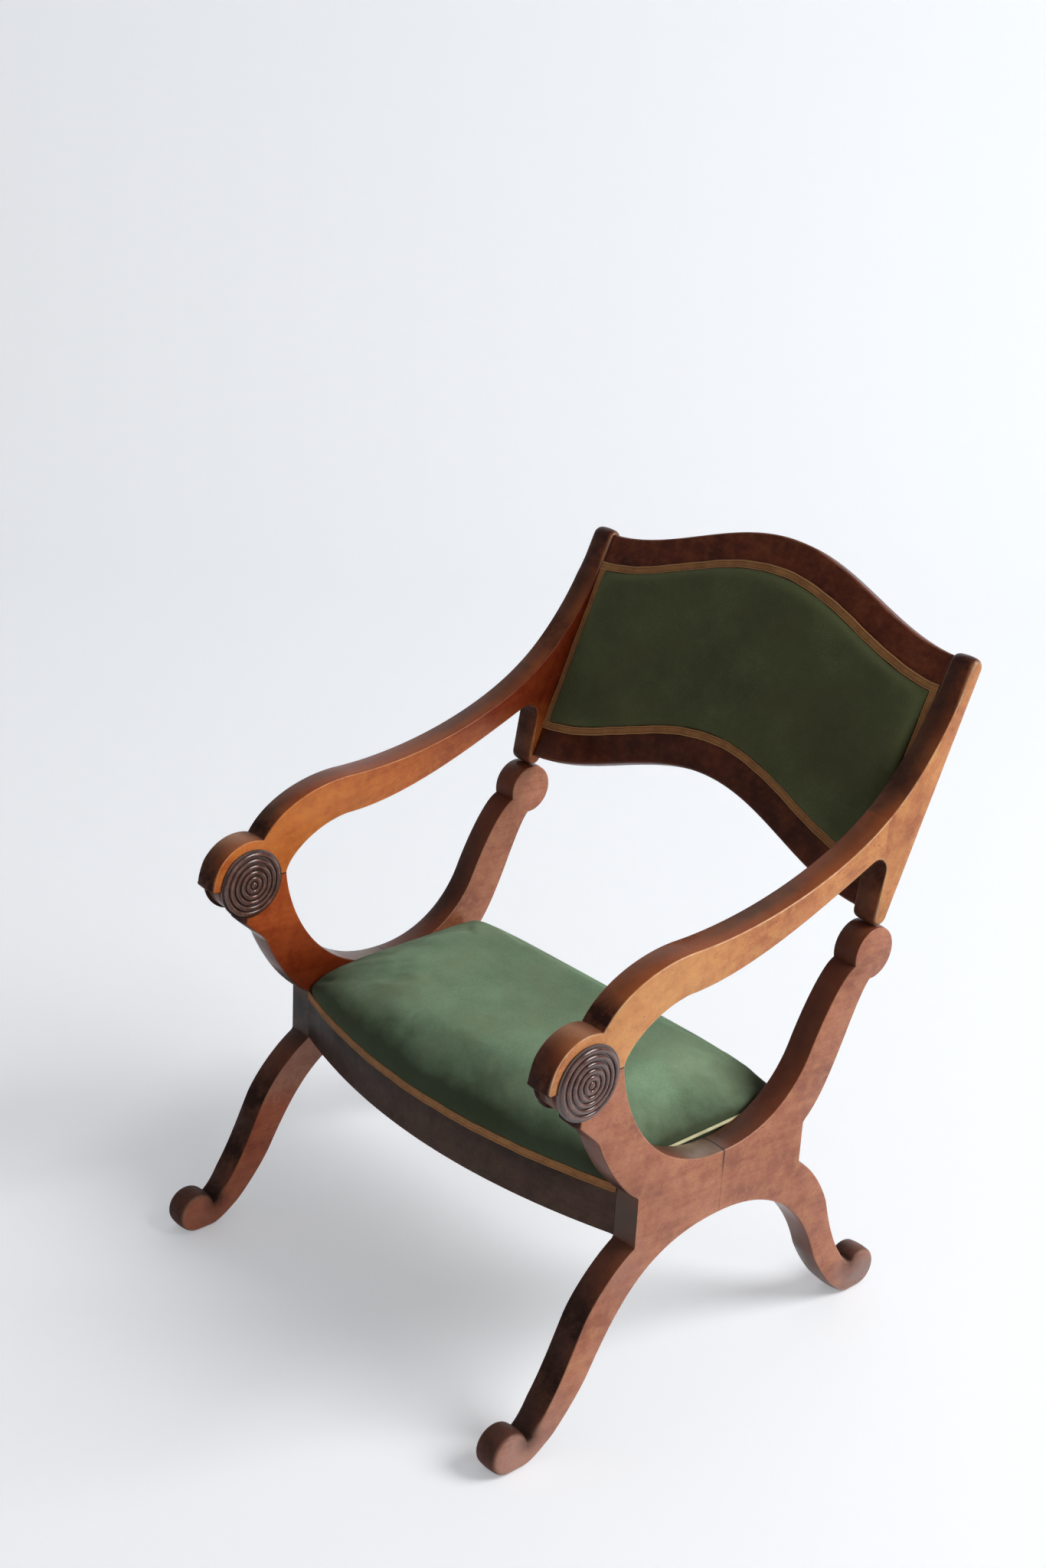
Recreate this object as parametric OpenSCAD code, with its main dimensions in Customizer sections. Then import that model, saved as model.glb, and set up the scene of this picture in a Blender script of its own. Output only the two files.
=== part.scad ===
// Convertible prayer chair. Two sawn side frames carry a low stuffed seat. The arms and the back are one
// frame, hinged in knuckle joints at the arm scrolls. It swings up and forward into a sloping elbow rest.
// The chair faces -Y, +Z is up, and the origin lies on the floor under the middle of the overall box.
// Side outlines are drawn as [y, z], with y measured back from the arm pivots and z up from the floor.

/* [Overall] */
// Width over the outer faces of the side frames
overall_w = 620; // [560:5:680]
// Thickness of the side boards, arms and stiles
board_t = 34; // [31:1:38]
// Height of the arm pivots
pivot_h = 458; // [446:1:470]
// Height of the top edges of the seat rails
seat_h = 283; // [275:1:291]
// From the arm pivots back to the front facets of the side frames
facet_front = 89; // [82:1:96]
// From the front facets to the rear facets
seat_depth = 264; // [254:1:274]

/* [Legs] */
// Radius of the scrolls at the toes and heels
scroll_r = 26; // [23:0.5:28]
// From the arm pivots forward to the centres of the toe scrolls
toe_reach = 76; // [66:1:86]
// From the arm pivots back to the centres of the heel scrolls
heel_reach = 493; // [483:1:503]
// Length of the flat that the toes and heels stand on
sole_len = 20; // [14:1:26]
// From the rail tops down to the crown of the arch between the legs
arch_drop = 68.5; // [64:0.5:74]
// From the rail tops up to the lowest point of the side frame's upper edge
side_rise = 14; // [10:1:18]

/* [Arm knuckles] */
// Radius of the tongue and cheek discs
knuckle_r = 40; // [37:0.5:41]
// Outer radius of the hood that runs over the tongue
hood_r = 56; // [53:0.5:59]
// Thickness of the tongue on the arm support
tongue_t = 12; // [10:0.5:14]
// Running gap round the discs and beside the tongue
knuckle_gap = 0.3; // [0.2:0.05:0.5]
// How far the arms and back swing up
swing = 82; // [70:1:84]
// Radius of the pivot pin
pin_r = 5; // [4:0.5:6]
// Radial running clearance of the pin in the tongue
pin_gap = 0.05; // [0.03:0.01:0.08]
// Radius of the turned roundels
roundel_r = 43.5; // [42.5:0.5:46]
// How far the rims of the roundels stand proud of the boards
roundel_t = 4.5; // [4:0.5:6]
// Further rise of the roundels from rim to centre
roundel_dome = 4; // [2:0.5:6]
// Number of turned rings on a roundel
ring_count = 5; // [3:1:7]

/* [Rear knuckles] */
// From the arm pivots back to the rear knuckles
rest_reach = 447; // [440:1:454]
// Height of the centres of the rear knuckles
rest_h = 471; // [465:1:477]
// Radius of the rear knuckles
rest_r = 33; // [31:0.5:35]
// Gap at rest under the feet of the stiles and at the arm butts
rest_gap = 0.3; // [0.2:0.05:0.5]

/* [Back] */
// Lean of the back from upright
rake = 24; // [22:0.5:26]
// Depth of the stiles, seen from the side
stile_d = 25; // [23:0.5:27]
// Length of the stiles between the centres of their round ends
stile_len = 298; // [290:1:306]
// Thickness of the crest rail and the lower rail
back_rail_t = 18; // [15:0.5:20]
// How far the back rails are set behind the fronts of the stiles
back_recess = 6; // [5:0.5:7]
// Depth of each back rail
back_rail_d = 56; // [50:1:60]
// How far the middle of the back arches above its ends
back_rise = 67; // [58:1:72]
// Height of the upholstered panel between its braid edges
panel_h = 218; // [208:1:220]

/* [Seat] */
// Depth of the front rail
front_rail_d = 62; // [56:1:66]
// Depth of the rear rail
rear_rail_d = 51; // [46:1:56]
// Thickness of the seat rails
seat_rail_t = 26; // [22:1:30]
// How far the front rail bows forward of its ends
rail_bow = 45; // [36:1:52]
// Height of the seat pad's side edge above the rails
pad_edge = 19; // [16:1:22]
// Further rise of the pad to its crown
pad_crown = 44; // [36:1:50]
// Width of the webbing straps
strap_w = 50; // [44:1:54]

/* [Trim and fixings] */
// Width of the braid
braid_w = 10.5; // [8:0.5:12]
// Thickness of the braid
braid_t = 1.6; // [1.2:0.1:2]
// Radius of the piping cord beside the seat pad
piping_r = 2; // [1.5:0.25:2.25]
// Radius of the dowels
dowel_r = 4.5; // [3.5:0.25:5]
// Length of the dowels
dowel_len = 44; // [36:1:48]
// Radius of the screw shanks
screw_r = 2.2; // [1.8:0.1:2.6]

/* [Hidden] */
// Fineness of true circles, and of points along a drawn curve
$fn = 96;
steps = 12;
// Clearances that all fits share
wood_fit = 0.05;
soft_gap = 0.3;

inner_x = overall_w / 2 - board_t;
board_x = overall_w / 2 - board_t / 2;
facet_rear = facet_front + seat_depth;
joint_y = facet_front + seat_depth / 2;
pivot = [0, pivot_h];
toe = [-toe_reach, scroll_r];
heel = [heel_reach, scroll_r];
rest = [rest_reach, rest_h];
arch_crown = [joint_y, seat_h - arch_drop];
side_top = [joint_y, seat_h + side_rise];

// Side points where two curves of a leg or an upright meet
front_knee = [facet_front - 71, seat_h - front_rail_d - 70];
front_calf = toe + [108, 57];
rear_knee = [facet_rear + 61, seat_h - rear_rail_d - 79];
rear_calf = heel + [-96, 60];
upright_mid = [facet_rear - 1, seat_h + 93];
waist = [facet_front - 65.5, seat_h + 90];
toe_notch = 25;
heel_notch = 134;

// The knuckle: the neck of the support runs from the shoulder to the butt, behind the hood's sweep
neck_r = 54;
shoulder_deg = 180 + swing + knuckle_gap / hood_r * 57.3;
hood_notch = 71;
cheek_t = (board_t - tongue_t) / 2 - knuckle_gap;

// The stile stands on the rear knuckle by its round foot
cap_r = stile_d / 2;
foot = rest + (rest_r + cap_r + rest_gap) * [sin(6), cos(6)];
up = [sin(rake), cos(rake)];
out = [cos(rake), -sin(rake)];
head = foot + stile_len * up;
crotch = foot + [-17.7, 57];
crotch_r = 16;
arm_joint_y = crotch[0] + 12;
arm_joint_deg = acos(12 / crotch_r);
arm_joint_top = [arm_joint_y, crotch[1] + 66];
arm_mid_top = [145, pivot_h + 106];
arm_mid_low = [145, pivot_h + 54];
flare_deg = 10.7;

// Rails and panel of the back, in its own leaning frame
rail_front_w = -cap_r + back_recess;
rail_back_w = rail_front_w + back_rail_t;
crest_gap = 6;
crest_end = stile_len + cap_r - crest_gap;
half_wave = 285;
rail_hidden = 12;
panel_low = back_rail_d - rail_hidden - braid_w / 2;
panel_top = panel_low + panel_h + braid_w;
fillet_w = 14;
back_strap_w = 50;
web_t = 1.5;
back_pad_t = 11;
rear_pad_t = 7;
edge_t = 2.2;

// The chair is moved so that the origin is under the middle of its box
front_y = -toe_reach - scroll_r;
back_y = foot[0] + (crest_end + back_rise) * up[0] + rail_back_w * up[1];
origin_y = (front_y + back_y) / 2;

// Levels of the seat
web_z = seat_h + 2 * web_t;
hessian_t = 0.8;
pad_z = web_z + hessian_t + soft_gap;
pad_half = inner_x - 2 * piping_r - 3 * soft_gap;
batten_h = 25;
batten_w = 22;
block_leg = 1.9 * batten_w;

// Cubic curve from a to b with a handle at each end; the last point is left to the next stretch
function curve(a, ha, hb, b) = [
    for (i = [0 : steps - 1])
        let (t = i / steps, u = 1 - t)
        u * u * u * a + 3 * u * u * t * (a + ha) + 3 * u * t * t * (b + hb) + t * t * t * b
];
// Arc about c from angle a0 to a1, both ends included
function arc(c, r, a0, a1, n = 24) = [
    for (i = [0 : n])
        let (a = a0 + (a1 - a0) * i / n)
        c + r * [cos(a), sin(a)]
];
// Arch of the back: 0 at its ends, 1 in the middle
function wave(x) = (1 + cos(180 * x / half_wave)) / 2;
// Front face of the bowed rail
function rail_y(x) = facet_front - rail_bow * (1 - pow(min(1, abs(x) / inner_x), 2));
// Even steps across the width
function across(half, n) = [for (i = [0 : n]) -half + 2 * half * i / n];

module in_place() translate([0, -origin_y, 0]) children();
// A board of thickness t whose outline is [y, z], from x up
module plank(points, x, t) translate([x, 0, 0]) rotate([90, 0, 90]) linear_extrude(t) polygon(points);
module rod_x(x, at, r, len)
    translate([x - len / 2, at[0], at[1]]) rotate([0, 90, 0]) cylinder(r = r, h = len);
module rod_y(x, at, r, len)
    translate([x, at[0] - len / 2, at[1]]) rotate([-90, 0, 0]) cylinder(r = r, h = len);
module in_back() translate([0, foot[0], foot[1]]) rotate([-rake, 0, 0]) children();
// A flat piece of the back with an [x, v] outline, from w0 to w1 behind the stile axis
module back_plate(w0, w1) translate([0, w1, 0]) rotate([90, 0, 0]) linear_extrude(w1 - w0) children();

// Dowels of the joint in each side frame, of the seat rails, of the arm joints and of the back rails
side_dowel_z = [for (k = [-1 : 1]) (arch_crown[1] + side_top[1]) / 2 + 24 * k];
front_dowel_at = [for (k = [0.3, 0.72]) [facet_front + seat_rail_t / 2, seat_h - front_rail_d * k]];
rear_dowel_at = [for (k = [0.3, 0.72]) [facet_rear - seat_rail_t / 2, seat_h - rear_rail_d * k]];
arm_dowel_z = [for (k = [0.24, 0.55]) crotch[1] + 10.6 + k * 55];
back_dowel_v = [crest_end - 16, crest_end - 42, 14, 38];
back_dowel_w = (rail_front_w + rail_back_w) / 2;
screw_y = [for (k = [0.15, 0.4, 0.82]) facet_front + seat_rail_t + k * (seat_depth - 2 * seat_rail_t)];
screw_z = seat_h - batten_h / 2;
screw_len = 40;

front_outline = concat(
    [[facet_front, seat_h]],
    curve([facet_front, seat_h - front_rail_d], [-25, -15], [14, 24], front_knee),
    curve(front_knee, [-14, -35], [31, 24], toe + scroll_r * [cos(toe_notch), sin(toe_notch)]),
    arc(toe, scroll_r, toe_notch, 270),
    curve([toe[0] + sole_len, 0], [26, 1], [-12, -22], front_calf),
    curve(front_calf, [42, 77], [-108, 0], arch_crown),
    [arch_crown],
    curve(side_top, [-112, 1], [6, -63], pivot + [neck_r, -rest_gap / 2]),
    [pivot + [neck_r, -rest_gap / 2], pivot + [0, -rest_gap / 2]],
    curve(pivot + neck_r * [cos(shoulder_deg), sin(shoulder_deg)], [11, -12], [-4, 8], waist),
    curve(waist, [9, -23], [-27, 14], [facet_front, seat_h])
);

rear_outline = concat(
    [side_top],
    curve(arch_crown, [96, 0], [-25, 70], rear_calf),
    curve(rear_calf, [13, -28], [-22, 1], [heel[0] - sole_len, 0]),
    [[heel[0] - sole_len, 0]],
    arc(heel, scroll_r, -90, heel_notch),
    curve(heel + scroll_r * [cos(heel_notch), sin(heel_notch)], [-33, 17], [8, -29], rear_knee),
    curve(rear_knee, [-10, 27], [25, -15], [facet_rear, seat_h - rear_rail_d]),
    [[facet_rear, seat_h - rear_rail_d]],
    curve([facet_rear, seat_h], [42, 26], [-25, -26], rest + rest_r * [cos(-93.5), sin(-93.5)]),
    arc(rest, rest_r, -93.5, 191.7, 36),
    curve(rest + rest_r * [cos(191.7), sin(191.7)], [-22, -8], [12, 27], upright_mid),
    curve(upright_mid, [-20, -46], [65, -2], side_top)
);

arm_outline = concat(
    arc(pivot, hood_r, 180 - rest_gap / 2 / hood_r * 57.3, hood_notch, 24),
    curve(pivot + hood_r * [cos(hood_notch), sin(hood_notch)], [22, 33], [-53, 0], arm_mid_top),
    curve(arm_mid_top, [110, -4], [-68, -49], arm_joint_top),
    [arm_joint_top],
    arc(crotch, crotch_r, arm_joint_deg, 111.6, 10),
    curve(crotch + crotch_r * [cos(111.6), sin(111.6)], [-78, -32], [95, -2], arm_mid_low),
    curve(arm_mid_low, [-45, -3], [5, 22], pivot + [neck_r, rest_gap / 2]),
    [pivot + [neck_r, rest_gap / 2]]
);

stile_outline = concat(
    arc(foot, cap_r, -rake, -180 - flare_deg, 16),
    arc(crotch, crotch_r, -flare_deg, arm_joint_deg, 8),
    curve(arm_joint_top, [40, 27], [-20, -48], head - cap_r * out - 28 * up),
    arc(head, cap_r, 180 - rake, -rake, 16)
);

// A side's front board: toe, leg, facet and arm support, with the tongue of the knuckle at its head
module front_board(side) color("#9c5433") in_place() difference() {
    union() {
        plank(front_outline, side * board_x - board_t / 2, board_t);
        rod_x(side * board_x, pivot, knuckle_r, tongue_t);
    }
    for (s = [-1, 1])
        rod_x(side * board_x + s * (tongue_t + board_t) / 2, pivot, knuckle_r + knuckle_gap, board_t);
    rod_x(side * board_x, pivot, pin_r + pin_gap, board_t);
    for (z = side_dowel_z)
        rod_y(side * board_x, [joint_y, z], dowel_r + wood_fit, dowel_len + 1);
    for (at = front_dowel_at)
        rod_x(side * inner_x, at, dowel_r + wood_fit, dowel_len + 1);
    for (y = screw_y)
        if (y < joint_y)
            rod_x(side * (inner_x - batten_w), [y, screw_z], screw_r + wood_fit, 2 * screw_len + 1);
}

// A side's rear board: heel, leg, facet and upright with its rounded knuckle
module rear_board(side) color("#9c5433") in_place() difference() {
    plank(rear_outline, side * board_x - board_t / 2, board_t);
    for (z = side_dowel_z)
        rod_y(side * board_x, [joint_y, z], dowel_r + wood_fit, dowel_len + 1);
    for (at = rear_dowel_at)
        rod_x(side * inner_x, at, dowel_r + wood_fit, dowel_len + 1);
    for (y = screw_y)
        if (y >= joint_y)
            rod_x(side * (inner_x - batten_w), [y, screw_z], screw_r + wood_fit, 2 * screw_len + 1);
}

module side_dowels() color("#c9a36b") in_place()
    for (side = [-1, 1])
        for (z = side_dowel_z)
            rod_y(side * board_x, [joint_y, z], dowel_r, dowel_len);

// Bow-fronted rail, sawn parallel, housed between the front boards
module front_rail() color("#5b2f22") in_place() difference() {
    translate([0, 0, seat_h - front_rail_d])
        linear_extrude(front_rail_d)
            polygon(concat(
                [for (x = across(inner_x, 36)) [x, rail_y(x)]],
                [for (x = across(inner_x, 36)) [-x, rail_y(x) + seat_rail_t]]
            ));
    for (side = [-1, 1])
        for (at = front_dowel_at)
            rod_x(side * inner_x, at, dowel_r + wood_fit, dowel_len + 1);
}

module rear_rail() color("#5b2f22") in_place() difference() {
    translate([-inner_x, facet_rear - seat_rail_t, seat_h - rear_rail_d])
        cube([2 * inner_x, seat_rail_t, rear_rail_d]);
    for (side = [-1, 1])
        for (at = rear_dowel_at)
            rod_x(side * inner_x, at, dowel_r + wood_fit, dowel_len + 1);
}

module seat_rail_dowels() color("#c9a36b") in_place()
    for (side = [-1, 1])
        for (at = concat(front_dowel_at, rear_dowel_at))
            rod_x(side * inner_x, at, dowel_r, dowel_len);

// Batten inside each side frame, between the rails, that carries the sides of the seat
module seat_batten(side) color("#8a5a3a") in_place() difference() {
    translate([side * (inner_x - batten_w / 2) - batten_w / 2, facet_front + seat_rail_t, seat_h - batten_h])
        cube([batten_w, seat_depth - 2 * seat_rail_t, batten_h]);
    for (y = screw_y) {
        rod_x(side * (inner_x - batten_w), [y, screw_z], screw_r + wood_fit, 2 * screw_len + 1);
        screw_head(side, y, wood_fit);
    }
}

module screw_head(side, y, fit) {
    head_r = 2 * screw_r + fit;
    translate([side * (inner_x - batten_w), y, screw_z])
        rotate([0, side * 90, 0])
            translate([0, 0, -fit])
                cylinder(r1 = head_r, r2 = screw_r + fit, h = 1.5 * screw_r + fit);
}

module batten_screws() color("#4a4744") in_place()
    for (side = [-1, 1])
        for (y = screw_y) {
            rod_x(side * (inner_x - batten_w + screw_len / 2), [y, screw_z], screw_r, screw_len);
            screw_head(side, y, 0);
        }

// Glued triangular blocks under the battens, in the four corners
module corner_blocks() color("#8a5a3a") in_place()
    for (side = [-1, 1])
        for (end = [[facet_front + seat_rail_t, 1], [facet_rear - seat_rail_t, -1]])
            translate([side * inner_x, end[0], seat_h - batten_h - 20])
                linear_extrude(20)
                    polygon([[0, 0], [-side * block_leg, 0], [0, end[1] * block_leg]]);

module long_webbing() color("#b08d57") in_place()
    for (x = [-0.54, 0, 0.54] * inner_x)
        translate([x - strap_w / 2, rail_y(x) + 12, seat_h])
            cube([strap_w, facet_rear - 12 - rail_y(x) - 12, web_t]);

module cross_webbing() color("#b08d57") in_place()
    for (k = [0.22, 0.5, 0.78])
        translate([-inner_x + 4, facet_front + k * seat_depth - strap_w / 2, seat_h + web_t])
            cube([2 * inner_x - 8, strap_w, web_t]);

module seat_hessian() color("#a58a5f") in_place()
    translate([0, 0, web_z])
        linear_extrude(hessian_t)
            polygon(concat(
                [for (x = across(pad_half - 4, 24)) [x, rail_y(x) + 8]],
                [[pad_half - 4, facet_rear - 8], [4 - pad_half, facet_rear - 8]]
            ));

// A closed pad over a grid of n by m cells: top(u, v) and base(u, v) give [x, y, z] for u and v from 0 to 1
function grid_faces(n, m) = let (w = m + 1, k = (n + 1) * w) concat(
    [for (i = [0 : n - 1], j = [0 : m - 1]) let (a = i * w + j) [a, a + 1, a + w + 1]],
    [for (i = [0 : n - 1], j = [0 : m - 1]) let (a = i * w + j) [a, a + w + 1, a + w]],
    [for (i = [0 : n - 1], j = [0 : m - 1]) let (a = k + i * w + j) [a, a + w + 1, a + 1]],
    [for (i = [0 : n - 1], j = [0 : m - 1]) let (a = k + i * w + j) [a, a + w, a + w + 1]],
    [for (i = [0 : n - 1], e = [0, m])
        let (a = i * w + e, b = a + w)
        e == 0 ? [a, b, b + k] : [b, a, a + k]],
    [for (i = [0 : n - 1], e = [0, m])
        let (a = i * w + e, b = a + w)
        e == 0 ? [a, b + k, a + k] : [b, a + k, b + k]],
    [for (j = [0 : m - 1], e = [0, n])
        let (a = e * w + j, b = a + 1)
        e == 0 ? [b, a, a + k] : [a, b, b + k]],
    [for (j = [0 : m - 1], e = [0, n])
        let (a = e * w + j, b = a + 1)
        e == 0 ? [b, a + k, b + k] : [a, b + k, a + k]]
);
// Steps from -1 to 1 that crowd towards both ends
function crowd(i, n) = -cos(180 * i / n);
// Roll of the pad's front and back edges, as a quarter of an ellipse over the length of the roll
function roll(d, len) = sqrt(1 - pow(1 - min(1, d / len), 2));

seat_n = 20;
seat_m = 18;
front_roll = 105;
rear_roll = 28;
pad_lip = 1;
function seat_at(i, j, draw) = let (
    x = crowd(i, seat_n) * (pad_half - draw),
    y0 = rail_y(x) - pad_lip + draw,
    y1 = facet_rear - 1.5 - draw
) [x, y0 + (y1 - y0) * (crowd(j, seat_m) + 1) / 2];
function seat_swell(p) = let (
    side_fall = sqrt(max(0, 1 - pow(abs(p[0]) / pad_half, 8))),
    front = roll(max(0, p[1] - rail_y(p[0]) + pad_lip), front_roll),
    rear = roll(max(0, facet_rear - 1.5 - p[1]), rear_roll)
) side_fall * front * rear;

// Stuffed seat: crowned top, long front roll, sides drawn in towards the rails
module seat_pad() color("#6d8f6c") in_place()
    polyhedron(
        points = concat(
            [for (i = [0 : seat_n], j = [0 : seat_m]) let (p = seat_at(i, j, 0))
                [p[0], p[1], seat_h + pad_edge + pad_crown * seat_swell(p)
                    - (pad_edge - 9) * (1 - roll(max(0, p[1] - rail_y(p[0]) + pad_lip), 60))]],
            [for (i = [0 : seat_n], j = [0 : seat_m]) let (p = seat_at(i, j, 3)) [p[0], p[1], pad_z]]
        ),
        faces = [for (f = grid_faces(seat_n, seat_m)) [f[0], f[2], f[1]]]
    );

module seat_front_braid() color("#8f6a35") in_place()
    translate([0, 0, seat_h + 3 - braid_w])
        linear_extrude(braid_w)
            polygon(concat(
                [for (x = across(inner_x, 36)) [x, rail_y(x) - braid_t]],
                [for (x = across(inner_x, 36)) [-x, rail_y(x)]]
            ));

module seat_rear_braid() color("#8f6a35") in_place()
    translate([-inner_x, facet_rear, seat_h + 3 - braid_w])
        cube([2 * inner_x, braid_t, braid_w]);

// Piping cord laid along each side of the pad, where it meets the side frame
piping_start = 22;
module seat_piping() color("#b9bd8f") in_place()
    for (side = [-1, 1])
        translate([
            side * (inner_x - piping_r - soft_gap),
            facet_front + piping_start,
            seat_h + pad_edge - piping_r
        ])
            rotate([-90, 0, 0])
                cylinder(r = piping_r, h = seat_depth - piping_start - 6, $fn = 24);

// An arm: hood, two cheek discs that straddle the tongue, and the sweep back to the stile
module arm(side) color("#a85c37") in_place() difference() {
    union() {
        plank(arm_outline, side * board_x - board_t / 2, board_t);
        for (s = [-1, 1])
            rod_x(side * board_x + s * (board_t - cheek_t) / 2, pivot, knuckle_r, cheek_t);
    }
    rod_x(side * board_x, pivot, knuckle_r + knuckle_gap, tongue_t + 2 * knuckle_gap);
    rod_x(side * board_x, pivot, pin_r, board_t + 1);
    for (z = arm_dowel_z)
        rod_y(side * board_x, [arm_joint_y, z], dowel_r + wood_fit, dowel_len + 1);
}

// A stile: round foot on the rear knuckle, raked bar and the web that takes the arm
module stile(side) color("#a85c37") in_place() difference() {
    plank(stile_outline, side * board_x - board_t / 2, board_t);
    for (z = arm_dowel_z)
        rod_y(side * board_x, [arm_joint_y, z], dowel_r + wood_fit, dowel_len + 1);
    in_back()
        for (v = back_dowel_v)
            rod_x(side * inner_x, [back_dowel_w, v], dowel_r + wood_fit, dowel_len + 1);
}

module arm_dowels() color("#c9a36b") in_place()
    for (side = [-1, 1])
        for (z = arm_dowel_z)
            rod_y(side * board_x, [arm_joint_y, z], dowel_r, dowel_len);

module back_rail(low, high) color("#5b2f22") in_place() in_back() difference() {
    back_plate(rail_front_w, rail_back_w)
        polygon(concat(
            [for (x = across(inner_x, 40)) [x, low + back_rise * wave(x)]],
            [for (x = across(inner_x, 40)) [-x, high + back_rise * wave(x)]]
        ));
    for (side = [-1, 1])
        for (v = back_dowel_v)
            rod_x(side * inner_x, [back_dowel_w, v], dowel_r + wood_fit, dowel_len + 1);
}

module back_rail_dowels() color("#c9a36b") in_place() in_back()
    for (side = [-1, 1])
        for (v = back_dowel_v)
            rod_x(side * inner_x, [back_dowel_w, v], dowel_r, dowel_len);

// Slim fillets beside the stiles, to which the sides of the back covers are tacked
module back_fillets() color("#5b2f22") in_place() in_back()
    for (side = [-1, 1])
        back_plate(rail_front_w, rail_back_w)
            polygon([for (p = [[0, 0], [1, 0], [1, 1], [0, 1]])
                let (x = side * (inner_x - p[0] * fillet_w))
                [x, (p[1] == 0 ? back_rail_d + soft_gap : crest_end - back_rail_d - soft_gap)
                    + back_rise * wave(x)]]);

function strap_end(x, v) = [x, v + back_rise * wave(x)];
module back_webbing() color("#b08d57") in_place() in_back()
    for (x = [-0.47, 0, 0.47] * inner_x)
        back_plate(rail_front_w - web_t, rail_front_w)
            polygon(concat(
                [for (k = [-1, 0, 1]) strap_end(x + k * back_strap_w / 2, panel_low + braid_w + 1)],
                [for (k = [1, 0, -1]) strap_end(x + k * back_strap_w / 2, panel_top - braid_w - 1)]
            ));

back_n = 22;
back_m = 12;
panel_half = inner_x - braid_w;
pad_gap = 0.6;
side_roll = 0.1;
end_roll = 0.2;
function back_at(i, j) = let (
    u = crowd(i, back_n),
    t = crowd(j, back_m),
    x = u * (panel_half - pad_gap),
    lift = back_rise * wave(x),
    lo = panel_low + braid_w + pad_gap + lift,
    hi = panel_top - braid_w - pad_gap + lift
) [x, lo + (hi - lo) * (t + 1) / 2, roll(1 - abs(u), side_roll) * roll(1 - abs(t), end_roll)];

// Stuffing and cover of the back: thin at the braid, rolled over at its edges and even in the middle
module domed_pad(base_w, way, swell) in_place() in_back()
    polyhedron(
        points = concat(
            [for (i = [0 : back_n], j = [0 : back_m]) let (p = back_at(i, j))
                [p[0], base_w + way * (edge_t + (swell - edge_t) * p[2]), p[1]]],
            [for (i = [0 : back_n], j = [0 : back_m]) let (p = back_at(i, j)) [p[0], base_w, p[1]]]
        ),
        faces = [for (f = grid_faces(back_n, back_m)) way < 0 ? f : [f[0], f[2], f[1]]]
    );

module back_pad() color("#33452c") domed_pad(rail_front_w - web_t - soft_gap, -1, back_pad_t);
module rear_pad() color("#33452c") domed_pad(rail_back_w + soft_gap, 1, rear_pad_t);

// Braid frame over the edges of a cover
module braid_frame() difference() {
    polygon(concat(
        [for (x = across(inner_x, 40)) [x, panel_low + back_rise * wave(x)]],
        [for (x = across(inner_x, 40)) [-x, panel_top + back_rise * wave(x)]]
    ));
    polygon(concat(
        [for (x = across(panel_half, 40)) [x, panel_low + braid_w + back_rise * wave(x)]],
        [for (x = across(panel_half, 40)) [-x, panel_top - braid_w + back_rise * wave(x)]]
    ));
}
module back_front_braid() color("#8f6a35") in_place() in_back()
    back_plate(rail_front_w - web_t - braid_t, rail_front_w) braid_frame();
module back_rear_braid() color("#8f6a35") in_place() in_back()
    back_plate(rail_back_w, rail_back_w + braid_t) braid_frame();

module pivot_pin(side) color("#4a4744") in_place() rod_x(side * board_x, pivot, pin_r, board_t);

// Turned roundel: a low dome with a centre boss and concentric rings, glued on a cheek of the arm
ring_pitch = (roundel_r - 3) / (ring_count + 0.5);
ring_r = ring_pitch * 0.36;
function dome_h(r) = roundel_t - ring_r + roundel_dome * (1 - pow(r / roundel_r, 2));
module roundel(x, way) color("#3b211b") in_place()
    translate([x, pivot[0], pivot[1]])
        rotate([0, way * 90, 0])
            rotate_extrude()
                difference() {
                    union() {
                        polygon(concat([[0, 0], [roundel_r, 0]], [for (k = [8 : -1 : 0])
                            [roundel_r * k / 8, dome_h(roundel_r * k / 8)]]));
                        for (k = [0 : ring_count])
                            let (r = k == 0 ? 0 : (k + 0.15) * ring_pitch)
                                translate([r, dome_h(r)])
                                    circle(r = ring_r, $fn = 24);
                    }
                    translate([-roundel_r, -roundel_t])
                        square([roundel_r, 4 * roundel_t]);
                    translate([knuckle_r - 0.5, -1])
                        square([roundel_r, 1 + knuckle_gap]);
                }

front_board(1);  // left_front_board
front_board(-1);  // right_front_board
rear_board(1);  // left_rear_board
rear_board(-1);  // right_rear_board
side_dowels();
front_rail();
rear_rail();
seat_rail_dowels();
seat_batten(1);  // left_seat_batten
seat_batten(-1);  // right_seat_batten
batten_screws();
corner_blocks();
long_webbing();
cross_webbing();
seat_hessian();
seat_pad();
seat_front_braid();
seat_rear_braid();
seat_piping();
arm(1);  // left_arm
arm(-1);  // right_arm
stile(1);  // left_stile
stile(-1);  // right_stile
arm_dowels();
back_rail(crest_end - back_rail_d, crest_end);  // crest_rail
back_rail(0, back_rail_d);  // lower_rail
back_rail_dowels();
back_fillets();
back_webbing();
back_pad();
rear_pad();
back_front_braid();
back_rear_braid();
pivot_pin(1);  // left_pivot_pin
pivot_pin(-1);  // right_pivot_pin
roundel(overall_w / 2, 1);  // left_outer_roundel
roundel(inner_x, -1);  // left_inner_roundel
roundel(-overall_w / 2, -1);  // right_outer_roundel
roundel(-inner_x, 1);  // right_inner_roundel
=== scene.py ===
import math

import bpy
import numpy as np
from mathutils import Matrix


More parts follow.
